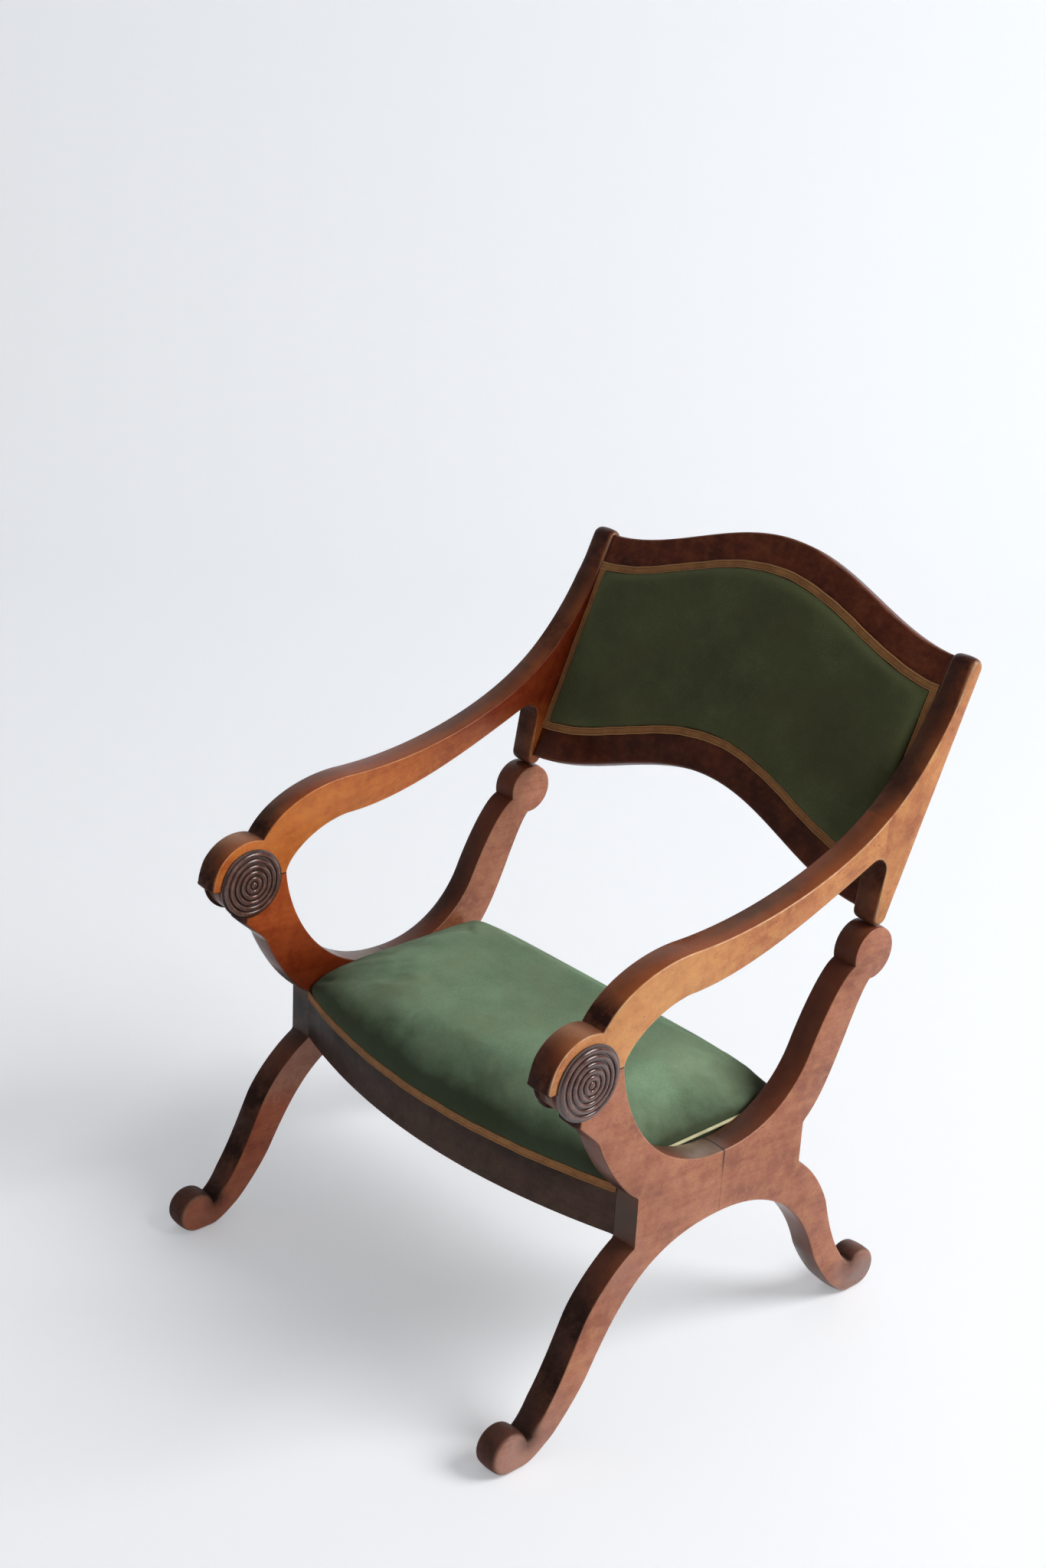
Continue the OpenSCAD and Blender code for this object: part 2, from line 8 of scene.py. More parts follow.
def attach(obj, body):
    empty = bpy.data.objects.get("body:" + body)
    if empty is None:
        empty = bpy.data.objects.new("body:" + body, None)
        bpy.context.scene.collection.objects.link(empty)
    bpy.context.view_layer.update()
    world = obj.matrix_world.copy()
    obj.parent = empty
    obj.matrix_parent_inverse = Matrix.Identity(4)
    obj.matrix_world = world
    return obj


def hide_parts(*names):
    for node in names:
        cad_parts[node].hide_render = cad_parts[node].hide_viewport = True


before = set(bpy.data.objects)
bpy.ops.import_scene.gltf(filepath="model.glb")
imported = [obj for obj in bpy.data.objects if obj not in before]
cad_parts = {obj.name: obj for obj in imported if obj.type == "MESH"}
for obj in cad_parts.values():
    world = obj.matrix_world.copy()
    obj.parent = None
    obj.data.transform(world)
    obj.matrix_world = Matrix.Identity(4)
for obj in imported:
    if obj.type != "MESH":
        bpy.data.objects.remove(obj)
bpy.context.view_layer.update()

# --- Side frames ------------------------------------------------------------------------------------------
# Each side frame is sawn from 34 mm mahogany as a front and a rear board, doweled end to end under the seat.
# Toe and heel scrolls, sabre legs, arm support and upright are one outline, French polished. The narrow
# edges have gone almost black and the arrises are rubbed pale; painted shade darkens the fronts of the legs
# and painted window light warms the edges on the window's side. Sizes are in mm from the arm pivots.

PIVOT = np.array([0.0, 458.0])
TO_ORIGIN = 255.68  # from the pivots back to the model's origin
INNER, OUTER = 276.0, 310.0  # faces of a side board, out from the middle of the chair
MIDDLE, HALF = (INNER + OUTER) / 2, (OUTER - INNER) / 2
SIDES = [(name, *sorted((way * INNER, way * OUTER))) for name, way in (("left", 1), ("right", -1))]
JOINT_Y, FACET_FRONT, FACET_REAR = 221.0, 89.0, 353.0
RAIL_TOP = 283.0
NECK, DISC, TONGUE, HOOD, PLAY = 54.0, 40.0, 6.0, 56.0, 0.3  # the tongue is given by half its thickness
SWING = 82
SHOULDER = 180 + SWING + math.degrees(PLAY / HOOD)
CROWN = 2.0  # how far the narrow edge falls away towards each sawn face


def curve(a, out_of_a, into_b, b, steps=26):
    """Cubic curve from a to b; each end's handle is given as a step from it. The point b is left out."""
    t = np.linspace(0, 1, steps, endpoint=False)[:, None]
    a, b = np.array(a, float), np.array(b, float)
    s = 1 - t
    return s**3 * a + 3 * s**2 * t * (a + out_of_a) + 3 * s * t**2 * (b + into_b) + t**3 * b


def arc(centre, radius, start, end, steps=40):
    """Points on a circle from one angle to another, in degrees, both ends included."""
    a = np.radians(np.linspace(start, end, steps + 1))
    return np.array(centre) + radius * np.stack([np.cos(a), np.sin(a)], 1)


def at(radius, angle, centre=PIVOT):
    """The point on a circle at one angle."""
    return arc(centre, radius, angle, angle, 0)[0]


def shape(name, points, faces, smooth=None, **attributes):
    """A mesh object from points in metres; each attribute is one number or one vector for every point."""
    mesh = bpy.data.meshes.new(name)
    mesh.from_pydata(points.tolist(), [], [list(map(int, f)) for f in faces])
    for label, values in attributes.items():
        kind, field = ("FLOAT", "value") if values.ndim == 1 else ("FLOAT_VECTOR", "vector")
        mesh.attributes.new(label, kind, "POINT").data.foreach_set(field, values.astype(np.float32).ravel())
    flags = np.ones(len(faces), bool) if smooth is None else smooth
    mesh.polygons.foreach_set("use_smooth", flags)
    mesh.set_sharp_from_angle(angle=math.radians(32))
    mesh.validate()
    piece = bpy.data.objects.new(name, mesh)
    bpy.context.collection.objects.link(piece)
    return piece


def standing(a, b, c):
    """Side view to model: a is measured back from the pivots, b up from the floor and c across the chair."""
    return np.stack([c, a - TO_ORIGIN, b], -1) / 1000


def quads(rows, columns, turned=False):
    """Faces of a tube stored ring by ring: a point, the next one round its ring and the two above them, or
    the other way round where the rings run backwards."""
    i, j = np.meshgrid(np.arange(rows - 1), np.arange(columns), indexing="ij")
    after = (j + 1) % columns
    corners = [i * columns + j, i * columns + after, (i + 1) * columns + after, (i + 1) * columns + j]
    return np.stack(corners, -1).reshape(-1, 4)[:, [0, 3, 2, 1] if turned else [0, 1, 2, 3]]


def sawn(outline, low, high, arris, place=standing, grain=0.0, flush=(False, False), crown=0.0, ends=()):
    """A board: its closed outline is carried from low to high and rolled over at both ends by quarter circles.
    Their radius is arris, a function of the outline's points, less where a short edge would turn over; a
    flush end has none. The narrow edge is crowned: it falls away from the middle of the thickness by
    crown times the squared distance. Points on the planes in ends, (axis, place), stay on them, except in front
    of the pivots, where the hood's lip is free. Returns points, faces, smooth flags, the edge weight (0 on the
    sawn faces, 1 on the edges) and the grain coordinates, turned by the angle at which the board was laid out
    on the plank."""
    o = np.asarray(outline, float)
    o = o[np.linalg.norm(o - np.roll(o, 1, 0), axis=1) > 0.02]
    x, y = o.T
    if np.sum(x * np.roll(y, -1) - np.roll(x, -1) * y) < 0:
        o = o[::-1]
    run = np.roll(o, -1, 0) - o
    run /= np.linalg.norm(run, axis=1)[:, None]
    left = np.stack([-run[:, 1], run[:, 0]], 1)
    before = np.roll(left, 1, 0)
    inward = (left + before) / np.maximum(1 + np.sum(left * before, 1), 0.35)[:, None]
    for axis, value in ends:
        on = (abs(o[:, axis] - value) < 0.2) & (o[:, 1 - axis] > 0)
        n = np.where(abs(left) > abs(before), left, before)[on, 1 - axis]
        inward[on, axis], inward[on, 1 - axis] = 0, 1 / n
    radius = arris(*o.T)
    for _ in range(8):
        ring = o + inward * (radius + np.minimum(crown, 0.8 * radius))[:, None]
        crossed = np.sum((np.roll(ring, -1, 0) - ring) * run, 1) < 0
        radius = np.where(crossed | np.roll(crossed, 1), radius * 0.6, radius)
    turns = np.linspace(0, math.pi / 2, 6)[:-1]
    lower = [(radius * (1 - math.sin(t)), low + radius * (1 - math.cos(t)), t) for t in turns]
    upper = [(radius * (1 - math.sin(t)), high - radius * (1 - math.cos(t)), t) for t in turns[::-1]]
    first, last = low + radius * (not flush[0]), high - radius * (not flush[1])
    wall = [(0 * radius, first + (last - first) * k, math.pi / 2) for k in np.linspace(0, 1, 7 if crown else 2)]
    rings = lower * (not flush[0]) + wall + upper * (not flush[1])
    drawn_in, c = (np.concatenate([ring[k] for ring in rings]) for k in (0, 1))
    fall = np.tile(np.minimum(crown, 0.8 * radius), len(rings))
    drawn_in = drawn_in + fall * ((c - math.copysign(MIDDLE, low)) / HALF) ** 2
    ab = np.tile(o, (len(rings), 1)) + np.tile(inward, (len(rings), 1)) * drawn_in[:, None]
    weight = np.repeat([ring[2] / (math.pi / 2) for ring in rings], len(o))
    walls = quads(len(rings), len(o))
    i = np.arange(len(o))
    faces = [list(i[::-1]), list(i + (len(rings) - 1) * len(o))] + walls.tolist()
    smooth = np.array([False, False] + [True] * len(walls))
    g = math.radians(grain)
    along = ab[:, 0] * math.cos(g) + ab[:, 1] * math.sin(g)
    across = ab[:, 1] * math.cos(g) - ab[:, 0] * math.sin(g)
    return place(ab[:, 0], ab[:, 1], c), faces, smooth, weight, np.stack([along, across, c], 1) / 1000


def knuckled(outline, cheek, core, half, low, high, **worked):
    """Three layers of a board whose knuckle is a tongue or a slot: the core reaches half each way from the
    middle of the thickness, and the cheeks beside it have the other head."""
    middle = math.copysign(MIDDLE, low)
    return (sawn(outline(cheek), low, middle - half, flush=(False, True), **worked),
            sawn(outline(core), middle - half, middle + half, flush=(True, True), **worked),
            sawn(outline(cheek), middle + half, high, flush=(True, False), **worked))


def timber(name, body, slot, finish, *layers):
    """One wooden piece from its sawn layers, riding on its body."""
    points, faces, smooth, edge, grain = zip(*layers)
    starts = np.cumsum([0] + [len(p) for p in points])
    faces = [[v + start for v in face] for layer, start in zip(faces, starts) for face in layer]
    piece = shape(name, np.concatenate(points), faces, np.concatenate(smooth),
                  edge=np.concatenate(edge), grain=np.concatenate(grain))
    piece.data.materials.append(finish)
    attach(piece, body)
    return piece


def tone(code):
    """sRGB hex to linear RGBA."""
    c = np.array([int(code[i:i + 2], 16) / 255 for i in (1, 3, 5)])
    return (*np.where(c <= 0.04045, c / 12.92, ((c + 0.055) / 1.055) ** 2.4), 1.0)


def node(tree, kind, inputs=None, stops=None, out=0, **settings):
    """Adds a node and returns its output out, or all of them for None. Settings are its properties, stops a
    ramp's, and inputs its values or the sockets that feed it."""
    made = tree.nodes.new("ShaderNode" + kind)
    for key, value in settings.items():
        setattr(made, key, value)
    for k, (place, colour) in enumerate(stops or ()):
        stop = made.color_ramp.elements[k] if k < 2 else made.color_ramp.elements.new(place)
        stop.position = place
        stop.color = tone(colour) if isinstance(colour, str) else (colour, colour, colour, 1)
    for key, value in (inputs or {}).items():
        if isinstance(value, bpy.types.NodeSocket):
            tree.links.new(value, made.inputs[key])
        else:
            made.inputs[key].default_value = value
    return made.outputs if out is None else made.outputs[out]


def finish_of(name, **surface):
    """An empty material with a Principled surface; returns it, its tree and the surface node."""
    material = bpy.data.materials.new(name)
    material.use_nodes = True
    tree = material.node_tree
    skin = tree.nodes["Principled BSDF"]
    for key, value in surface.items():
        skin.inputs[key.replace("_", " ")].default_value = value
    return material, tree, skin


def surfaced(tree, skin, colour, height, strength, depth):
    """Links a colour to the surface and gives it relief from a height, of that strength and depth in metres."""
    tree.links.new(colour, skin.inputs["Base Color"])
    relief = node(tree, "Bump", {"Height": height, "Strength": strength, "Distance": depth})
    tree.links.new(relief, skin.inputs["Normal"])


# The second colour is painted window light on the narrow edges, on their side towards the window.
JOINT_LINE, WINDOW_LIGHT_PAINT = "#170a06", "#96461f"
# The ramp of tints on the inner faces gives warmer polish and painted shade.
RAMP_TOP = 900.0  # a height in mm above the chair, which ends the ramp of the inner faces' tints


def french_polish(name, light, heart, dark, edge, edge_dark, rubbed, gloss=0.3, wear=0.6, cover=0.85,
                  shine=0.28, flecks=0.34, gold="#c58a56", painted_window_light=0.0, seams=(), grime_and_shade=(), inside=(),
                  inside_to=999):
    """Mahogany under worn shellac. Faint figure in streaks 60 mm long over cloudy patches of redder and browner
    polish, with gold and darker patches 15 mm wide; pores as 4 mm dashes half a mm wide, and groups of dark
    flecks 3 mm long, more of them the higher flecks is. The edge weight turns the narrow edges darker, in
    drifts 150 mm long, and bares pale wood on the arrises. Painted window light makes the narrow edges lighter
    and warmer on their half towards the window, by the share that its argument gives.
    Grime and shade lists places of old wax and dirt, of wear from hands, and of painted shade and a painted
    highlight: distance back, height and reach in mm, how strongly the sawn faces and the narrow edges have it,
    its colour where it isn't dark, and 1 or -1 where only the left or the right side frame has it. The dark
    sort is matt.
    Inside lists heights in mm and the tints that multiply the colour of the inner faces there: warmer polish
    on faces that have seen less light, and painted shade beside the pad and up the back, where the back keeps
    the window off. They end at the distance back inside_to.
    Seams lists dark joint lines: axis, place in mm, and the heights between which the line grows from its first
    strength to its last. A level one opens with the joint, so it is wider and stays off the end faces."""
    material, tree, skin = finish_of(name, IOR=1.45, Specular_IOR_Level=shine, Coat_Weight=0.08,
                                     Coat_Roughness=0.2)
    grain = node(tree, "Attribute", attribute_name="grain", out="Vector")
    weight = node(tree, "Attribute", attribute_name="edge", out="Fac")
    figure, pores, fleck, cloud, drift, patch, rub = (
        node(tree, "TexNoise", {"Vector": node(tree, "Mapping", {"Vector": grain, "Scale": stretch}),
                                "Scale": 1.0, "Detail": detail, "Roughness": rough})
        for stretch, detail, rough in (
            ((9, 120, 60), 5, 0.62), ((190, 1200, 1200), 2, 0.5), ((140, 330, 330), 4, 0.8),
            ((15, 15, 15), 5, 0.6), ((6.5, 6.5, 6.5), 4, 0.6), ((62, 62, 62), 6, 0.7), ((34, 34, 34), 5, 0.75)))
    blend = node(tree, "Math", {0: cloud, 1: 0.67}, operation="MULTIPLY")
    mottle = node(tree, "Math", {0: figure, 1: 0.33, 2: blend}, operation="MULTIPLY_ADD")
    result = node(tree, "ValToRGB", {"Fac": mottle}, [(0.36, dark), (0.5, heart), (0.64, light)])
    group = node(tree, "MapRange", {"Value": cloud, "From Min": 0.42, "From Max": 0.6, "To Min": 0.1})
    layers = []
    for pattern, low, high, share, colour in (
            (patch, (0.48, 0.0), (0.66, 0.55), 1.0, gold), (patch, (0.32, 0.6), (0.46, 0.0), 1.0, dark),
            (pores, (0.34, 0.3), (0.46, 0.0), 1.0, edge),
            (fleck, (flecks, 0.75), (flecks + 0.04, 0.0), group, edge_dark)):
        mask = node(tree, "ValToRGB", {"Fac": pattern}, [low, high])
        layers.append((node(tree, "Math", {0: mask, 1: share}, operation="MULTIPLY"), tone(colour)))

    at_point = node(tree, "TexCoord", out="Object")
    place = node(tree, "SeparateXYZ", {0: at_point}, out=None)
    across = node(tree, "Math", {0: place["X"]}, operation="ABSOLUTE")
    side = node(tree, "ValToRGB", {"Fac": drift}, [(0.4, edge_dark), (0.6, edge)])
    # Painted window light: the narrow edges turn lighter and warmer on their half towards the window.
    if painted_window_light:
        off = node(tree, "Math", {0: across, 1: MIDDLE / 1000}, operation="SUBTRACT")
        lit = node(tree, "Math", {0: place["X"]}, operation="SIGN")
        off = node(tree, "Math", {0: off, 1: lit}, operation="MULTIPLY")
        beside = node(tree, "MapRange", {"Value": off, "From Min": -0.004, "From Max": 0.015, "To Max": painted_window_light},
                      interpolation_type="SMOOTHSTEP")
        side = node(tree, "Mix", {0: beside, 6: side, 7: tone(WINDOW_LIGHT_PAINT)}, data_type="RGBA", out=2)
    rim = node(tree, "ValToRGB", {"Fac": weight}, [(0.45, 0.0), (0.95, cover)])
    band = node(tree, "ValToRGB", {"Fac": weight}, [(0.08, 0.0), (0.34, 1.0), (0.62, 0.0)])
    rubs = node(tree, "ValToRGB", {"Fac": rub}, [(0.4, 0.15 * wear), (0.62, wear)])
    bare = node(tree, "Math", {0: band, 1: rubs}, operation="MULTIPLY")
    layers += [(rim, side), (bare, tone(rubbed))]

    flat = node(tree, "Mapping", {"Vector": at_point, "Scale": (0, 1, 1)})
    ragged = node(tree, "MapRange", {"Value": rub, "From Min": 0.3, "From Max": 0.6, "To Min": 0.35})
    dull = 0.0
    # Each entry tints a spot: old wax, dirt and wear, and also painted shade and a painted highlight.
    for a, b, reach, (on_face, on_edge), *more in grime_and_shade:
        colour, way = (*more, None, 0)[:2]
        centre = ((way or 0) * MIDDLE / 1000, (a - TO_ORIGIN) / 1000, b / 1000)
        where = at_point if way else flat
        away = node(tree, "VectorMath", {0: where, 1: centre}, operation="DISTANCE", out="Value")
        gathered = node(tree, "MapRange", {"Value": away, "From Max": reach / 1000,
                                           "To Min": 1.3, "To Max": 0.0})
        held = node(tree, "MapRange", {"Value": weight, "To Min": on_face, "To Max": on_edge})
        some = node(tree, "Math", {0: gathered, 1: held}, operation="MULTIPLY")
        dirt_and_shade = node(tree, "Math", {0: some, 1: ragged}, operation="MULTIPLY", use_clamp=True)
        layers.append((dirt_and_shade, tone(colour or edge_dark)))
        if not colour:
            dull = node(tree, "Math", {0: dirt_and_shade, 1: dull}, operation="MAXIMUM")

    # Tints of the inner faces: warmer polish, and painted shade beside the pad and up the back.
    if inside:
        end = (inside_to - TO_ORIGIN) / 1000
        inner = node(tree, "MapRange", {"Value": across, "From Min": (INNER + 0.6) / 1000,
                                        "From Max": (INNER + 2) / 1000, "To Min": 1.0, "To Max": 0.0})
        before = node(tree, "MapRange", {"Value": place["Y"], "From Min": end - 0.02, "From Max": end + 0.02,
                                         "To Min": 1.0, "To Max": 0.0})
        inner_tinted_and_shaded = node(tree, "Math", {0: inner, 1: before}, operation="MULTIPLY")
        level = node(tree, "Math", {0: place["Z"], 1: RAMP_TOP / 1000}, operation="DIVIDE")
        inner_tint_and_shade = node(tree, "ValToRGB", {"Fac": level}, [(height / RAMP_TOP, shade) for height, shade in inside])
        layers.append((inner_tinted_and_shaded, inner_tint_and_shade, "MULTIPLY"))
    for axis, at_mm, faint, full, weakest, strongest in seams:
        off = node(tree, "Math", {0: place[axis], 1: at_mm / 1000}, operation="SUBTRACT")
        far = node(tree, "Math", {0: off}, operation="ABSOLUTE")
        sharp = 0.001 if axis == "Z" else 0.0005
        line = node(tree, "MapRange", {"Value": far, "From Min": sharp, "From Max": sharp + 0.0009,
                                       "To Min": 1.0, "To Max": 0.0})
        lift = node(tree, "MapRange", {"Value": place["Z"], "From Min": faint / 1000, "From Max": full / 1000,
                                       "To Min": weakest, "To Max": strongest})
        show = node(tree, "Math", {0: line, 1: lift}, operation="MULTIPLY")
        if axis == "Z":
            on_face = node(tree, "MapRange", {"Value": weight, "From Min": 0.5, "To Min": 1.0, "To Max": 0.0})
            show = node(tree, "Math", {0: show, 1: on_face}, operation="MULTIPLY")
        layers.append((show, tone(JOINT_LINE)))
    for mask, shade, *blend in layers:
        result = node(tree, "Mix", {0: mask, 6: result, 7: shade}, data_type="RGBA",
                      blend_type=(*blend, "MIX")[0], out=2)

    haze = node(tree, "MapRange", {"Value": cloud, "From Min": 0.3, "From Max": 0.7,
                                   "To Min": gloss - 0.08, "To Max": gloss + 0.15})
    matt = node(tree, "Math", {0: dull, 1: 0.65, 2: haze}, operation="MULTIPLY_ADD", use_clamp=True)
    tree.links.new(matt, skin.inputs["Roughness"])
    surfaced(tree, skin, result, pores, 0.12, 0.0003)
    return material


toe, heel, scroll, sole = (-76, 26), (493, 26), 26, 20
knee, calf = (18, 151), (32, 83)
arch_crown, side_top = (JOINT_Y, 214.5), (JOINT_Y, 297)
waist = (23.5, 373)
rear_knee, rear_calf = (414, 153), (397, 86)
upright_mid, rest, rest_r = (352, 376), np.array([447.0, 471.0]), 33

side_polish = french_polish(
    "french_polished_mahogany_boards", "#bb7c60", "#aa694d", "#8f523c", "#5e2c1a", "#2e170f", "#dcb090",
    # A quarter share of painted window light on the narrow edges.
    flecks=0.33, painted_window_light=0.25, gold="#bd835a",
    # Low on the legs the inner tint is warmer polish; from 290 mm up it is painted shade beside the pad.
    inside=((135, "#ffd2b8"), (165, "#ffffff"), (285, "#ffffff"), (290, "#a26a4c"), (330, "#b8794e"),
            (365, "#e0a070"), (400, "#ffc084")), inside_to=200,
    seams=(("Y", JOINT_Y - TO_ORIGIN, 262, 284, 0.3, 1.0),),
    grime_and_shade=(
        (-76, 30, 70, (0, 1)), (-66, 34, 92, (0.6, 0.08), "#a3847a"), (-50, 36, 24, (0.7, 1)),  # toe
        (498, 22, 40, (0, 1)), (496, 24, 66, (0.9, 0.3), "#8a736d"), (474, 44, 26, (0.6, 1)),  # heel
        # The first two spots, at the knee and low on the front of the leg, are painted shade on faces turned
        # from the light.
        (20, 150, 66, (0, 1)), (-18, 92, 66, (0, 1)), (62, 300, 34, (0.3, 1)), (0, 410, 30, (0.1, 1)),
        # The second facet spot is painted shade on the far side frame.
        (89, 252, 46, (0, 1), "#523a2c"), (89, 252, 60, (0, 1), "#20140e", -1),  # facet
        (62, 208, 60, (0.35, 0), "#967670"), (353, 258, 40, (0, 1)), (372, 150, 75, (0, 1), "#7a4634"),
        # The last, grey spot at the top of the edge beside the seat is dust with a painted reflection of the
        # cloth.
        (416, 455, 30, (0.2, 1)), (420, 440, 90, (0, 0.5), "#7c3a22"), (190, 296, 46, (0, 1), "#83705f"),
    ))


def front_outline(head):
    """Outline of a front board, from the facet down to the toe, back along the arch and up to the knuckle."""
    return np.concatenate([
        [(FACET_FRONT, RAIL_TOP)],
        curve((FACET_FRONT, 221), (-26, -14), (14, 26), knee),
        curve(knee, (-15, -30), (31, 24), at(scroll, 25, toe)),
        arc(toe, scroll, 25, 270),
        curve((toe[0] + sole, 0), (26, 1), (-12, -22), calf),
        curve(calf, (42, 77), (-108, 0), arch_crown),
        [arch_crown],
        curve(side_top, (-112, 1), (6, -63), (NECK, PIVOT[1] - PLAY / 2)),
        [(NECK, PIVOT[1] - PLAY / 2)],
        head,
        curve(at(NECK, SHOULDER), (11, -12), (-4, 8), waist),
        curve(waist, (9, -23), (-27, 14), (FACET_FRONT, RAIL_TOP)),
    ])


REAR_OUTLINE = np.concatenate([
    [side_top],
    curve(arch_crown, (96, 0), (-25, 70), rear_calf),
    curve(rear_calf, (13, -28), (-22, 1), (heel[0] - sole, 0)),
    [(heel[0] - sole, 0)],
    arc(heel, scroll, -90, 134),
    curve(at(scroll, 134, heel), (-33, 17), (8, -29), rear_knee),
    curve(rear_knee, (-10, 27), (25, -15), (FACET_REAR, 232)),
    [(FACET_REAR, 232)],
    curve((FACET_REAR, RAIL_TOP), (42, 26), (-25, -26), at(rest_r, -93.5, rest)),
    arc(rest, rest_r, -93.5, 191.7),
    curve(at(rest_r, 191.7, rest), (-22, -8), (12, 27), upright_mid),
    curve(upright_mid, (-20, -46), (65, -2), side_top),
])

socket = arc(PIVOT, DISC + PLAY, 360, SHOULDER)
tongue = arc(PIVOT, DISC, 0, SHOULDER, 90)


def near(a, b, centre, inside, outside):
    """1 within the inner distance of a centre, falling smoothly to 0 at the outer distance."""
    t = np.clip((outside - np.hypot(a - centre[0], b - centre[1])) / (outside - inside), 0, 1)
    return t * t * (3 - 2 * t)


def board_arris(a, b):
    """1.6 mm along the edges and up to 5.3 mm on the worn toes and heels; almost none at the facets beside the
    rails and round the knuckle, where the next piece meets the board."""
    radius = 1.6 + 3.7 * near(a, b, toe, 30, 62) + 3.0 * near(a, b, heel, 30, 62)
    facet = (b > 215) & (b < RAIL_TOP + 1) & ((abs(a - FACET_FRONT) < 0.6) | (abs(a - FACET_REAR) < 0.6))
    return np.where(facet | (np.hypot(a, b - PIVOT[1]) < NECK - 1), 0.35, radius)


worked = {"arris": board_arris, "grain": -4, "crown": CROWN, "ends": ((0, JOINT_Y), (1, PIVOT[1] - PLAY / 2))}
for name, low, high in SIDES:
    piece = timber(name + "_front_side_board", "seat_frame", "polished_mahogany", side_polish,
                   *knuckled(front_outline, socket, tongue, TONGUE, low, high, **worked))
    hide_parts(name + "_front_board")
    piece = timber(name + "_rear_side_board", "seat_frame", "polished_mahogany", side_polish,
                   sawn(REAR_OUTLINE, low, high, **worked))
    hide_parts(name + "_rear_board")

# --- Inner timber and fixings -----------------------------------------------------------------------------
# Beech dowels hold the joints. Beech battens are screwed inside the side frames and blocks are glued in the
# corners. All are bare wood; the pivot pins and screws are dull steel.

beech, tree, skin = finish_of("bare_sawn_beech", Roughness=0.75, IOR=1.5)
place = node(tree, "TexCoord", out="Object")
ray_at = node(tree, "Mapping", {"Vector": place, "Scale": (420, 60, 420)})
rays = node(tree, "TexNoise", {"Vector": ray_at, "Scale": 1.0, "Detail": 4, "Roughness": 0.6})
colour = node(tree, "ValToRGB", {"Fac": rays}, [(0.3, "#8e6a45"), (0.55, "#b48e62"), (0.75, "#c7a679")])
surfaced(tree, skin, colour, rays, 0.25, 0.0004)

steel, tree, skin = finish_of("dull_drawn_steel", Metallic=1.0, Roughness=0.45)
place = node(tree, "TexCoord", out="Object")
tarnish = node(tree, "TexNoise", {"Vector": place, "Scale": 260, "Detail": 4})
colour = node(tree, "ValToRGB", {"Fac": tarnish}, [(0.35, "#4e4842"), (0.7, "#7b7670")])
surfaced(tree, skin, colour, tarnish, 0.1, 0.0002)


def finished(material, *names):
    """Gives its material to each solid that keeps its shape."""
    for name in names:
        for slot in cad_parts[name].material_slots:
            slot.material = material


finished(beech, "side_dowels", "seat_rail_dowels", "left_seat_batten", "right_seat_batten", "corner_blocks",
         "arm_dowels", "back_rail_dowels")
finished(steel, "batten_screws", "left_pivot_pin", "right_pivot_pin")

# --- Seat rails -------------------------------------------------------------------------------------------
# The front rail is bowed, 62 mm deep, flush with the facets of the front boards. The rear rail is straight.
# Both are dark stained mahogany, doweled between the side frames.

BOW, RAIL_T, FRONT_DEEP, REAR_DEEP = 45.0, 26.0, 62, 51


def rail_front(x):
    """Front face of the bowed rail, a parabola 45 mm deep between the side frames."""
    return FACET_FRONT - BOW * (1 - np.minimum(1, abs(x) / INNER) ** 2)


def from_above(a, b, c):
    """Plan to model: a across, b back from the pivots, c up."""
    return np.stack([a, b - TO_ORIGIN, c], -1) / 1000


def rail_arris(a, _):
    """1.3 mm, and almost none at the ends, where the rail is flush with its neighbours."""
    return np.where(abs(a) > INNER - 0.5, 0.3, 1.3)


rail_polish = french_polish(
    "dark_stained_mahogany_rails", "#6d5245", "#5a4238", "#402d24", "#49322a", "#2c1a13", "#7d5d4a",
    gloss=0.5, wear=0.4, cover=0.4, shine=0.12, gold="#705a4c",
    # The second spot is painted shade over the far half of the front rail.
    grime_and_shade=((62, 279, 30, (0.9, 0.9), "#2a1d17"), (70, 252, 330, (0.75, 0.75), "#1c110c", -1)))
x = np.linspace(-INNER, INNER, 121)
bow = np.concatenate([np.stack([x, rail_front(x)], 1), np.stack([x, rail_front(x) + RAIL_T], 1)[::-1]])
straight = np.array([(-INNER, FACET_REAR - RAIL_T), (INNER, FACET_REAR - RAIL_T),
                     (INNER, FACET_REAR), (-INNER, FACET_REAR)])
for name, outline, depth in (("front", bow, FRONT_DEEP), ("rear", straight, REAR_DEEP)):
    piece = timber(name + "_seat_rail", "seat_frame", "dark_mahogany", rail_polish,
                   sawn(outline, RAIL_TOP - depth, RAIL_TOP, rail_arris, from_above))
    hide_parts(name + "_rail")

# --- Webbing and hessian ----------------------------------------------------------------------------------
# Jute straps 50 mm wide are stretched over the rails both ways, with hessian over them. Their threads are
# drawn 2.5 mm apart, coarser than real, so that they show.

webbing, tree, skin = finish_of("woven_jute", Roughness=0.9)
place = node(tree, "TexCoord", out="Object")
warp, weft = (node(tree, "TexWave", {"Vector": place, "Scale": 63, "Distortion": 0.6, "Detail": 1},
                   bands_direction=way, out="Fac") for way in ("X", "Y"))
threads = node(tree, "Math", {0: warp, 1: weft}, operation="MULTIPLY")
colour = node(tree, "ValToRGB", {"Fac": threads}, [(0.0, "#6d5230"), (0.5, "#a5854f"), (1.0, "#c0a26c")])
surfaced(tree, skin, colour, threads, 0.6, 0.0006)
finished(webbing, "long_webbing", "cross_webbing", "seat_hessian", "back_webbing")

# --- Seat pad ---------------------------------------------------------------------------------------------
# Stuffing of hair and tow under linen, covered in green wool cloth that is drawn down to the rails: a crown
# between the sides, a long roll to the bowed front and a short one behind.

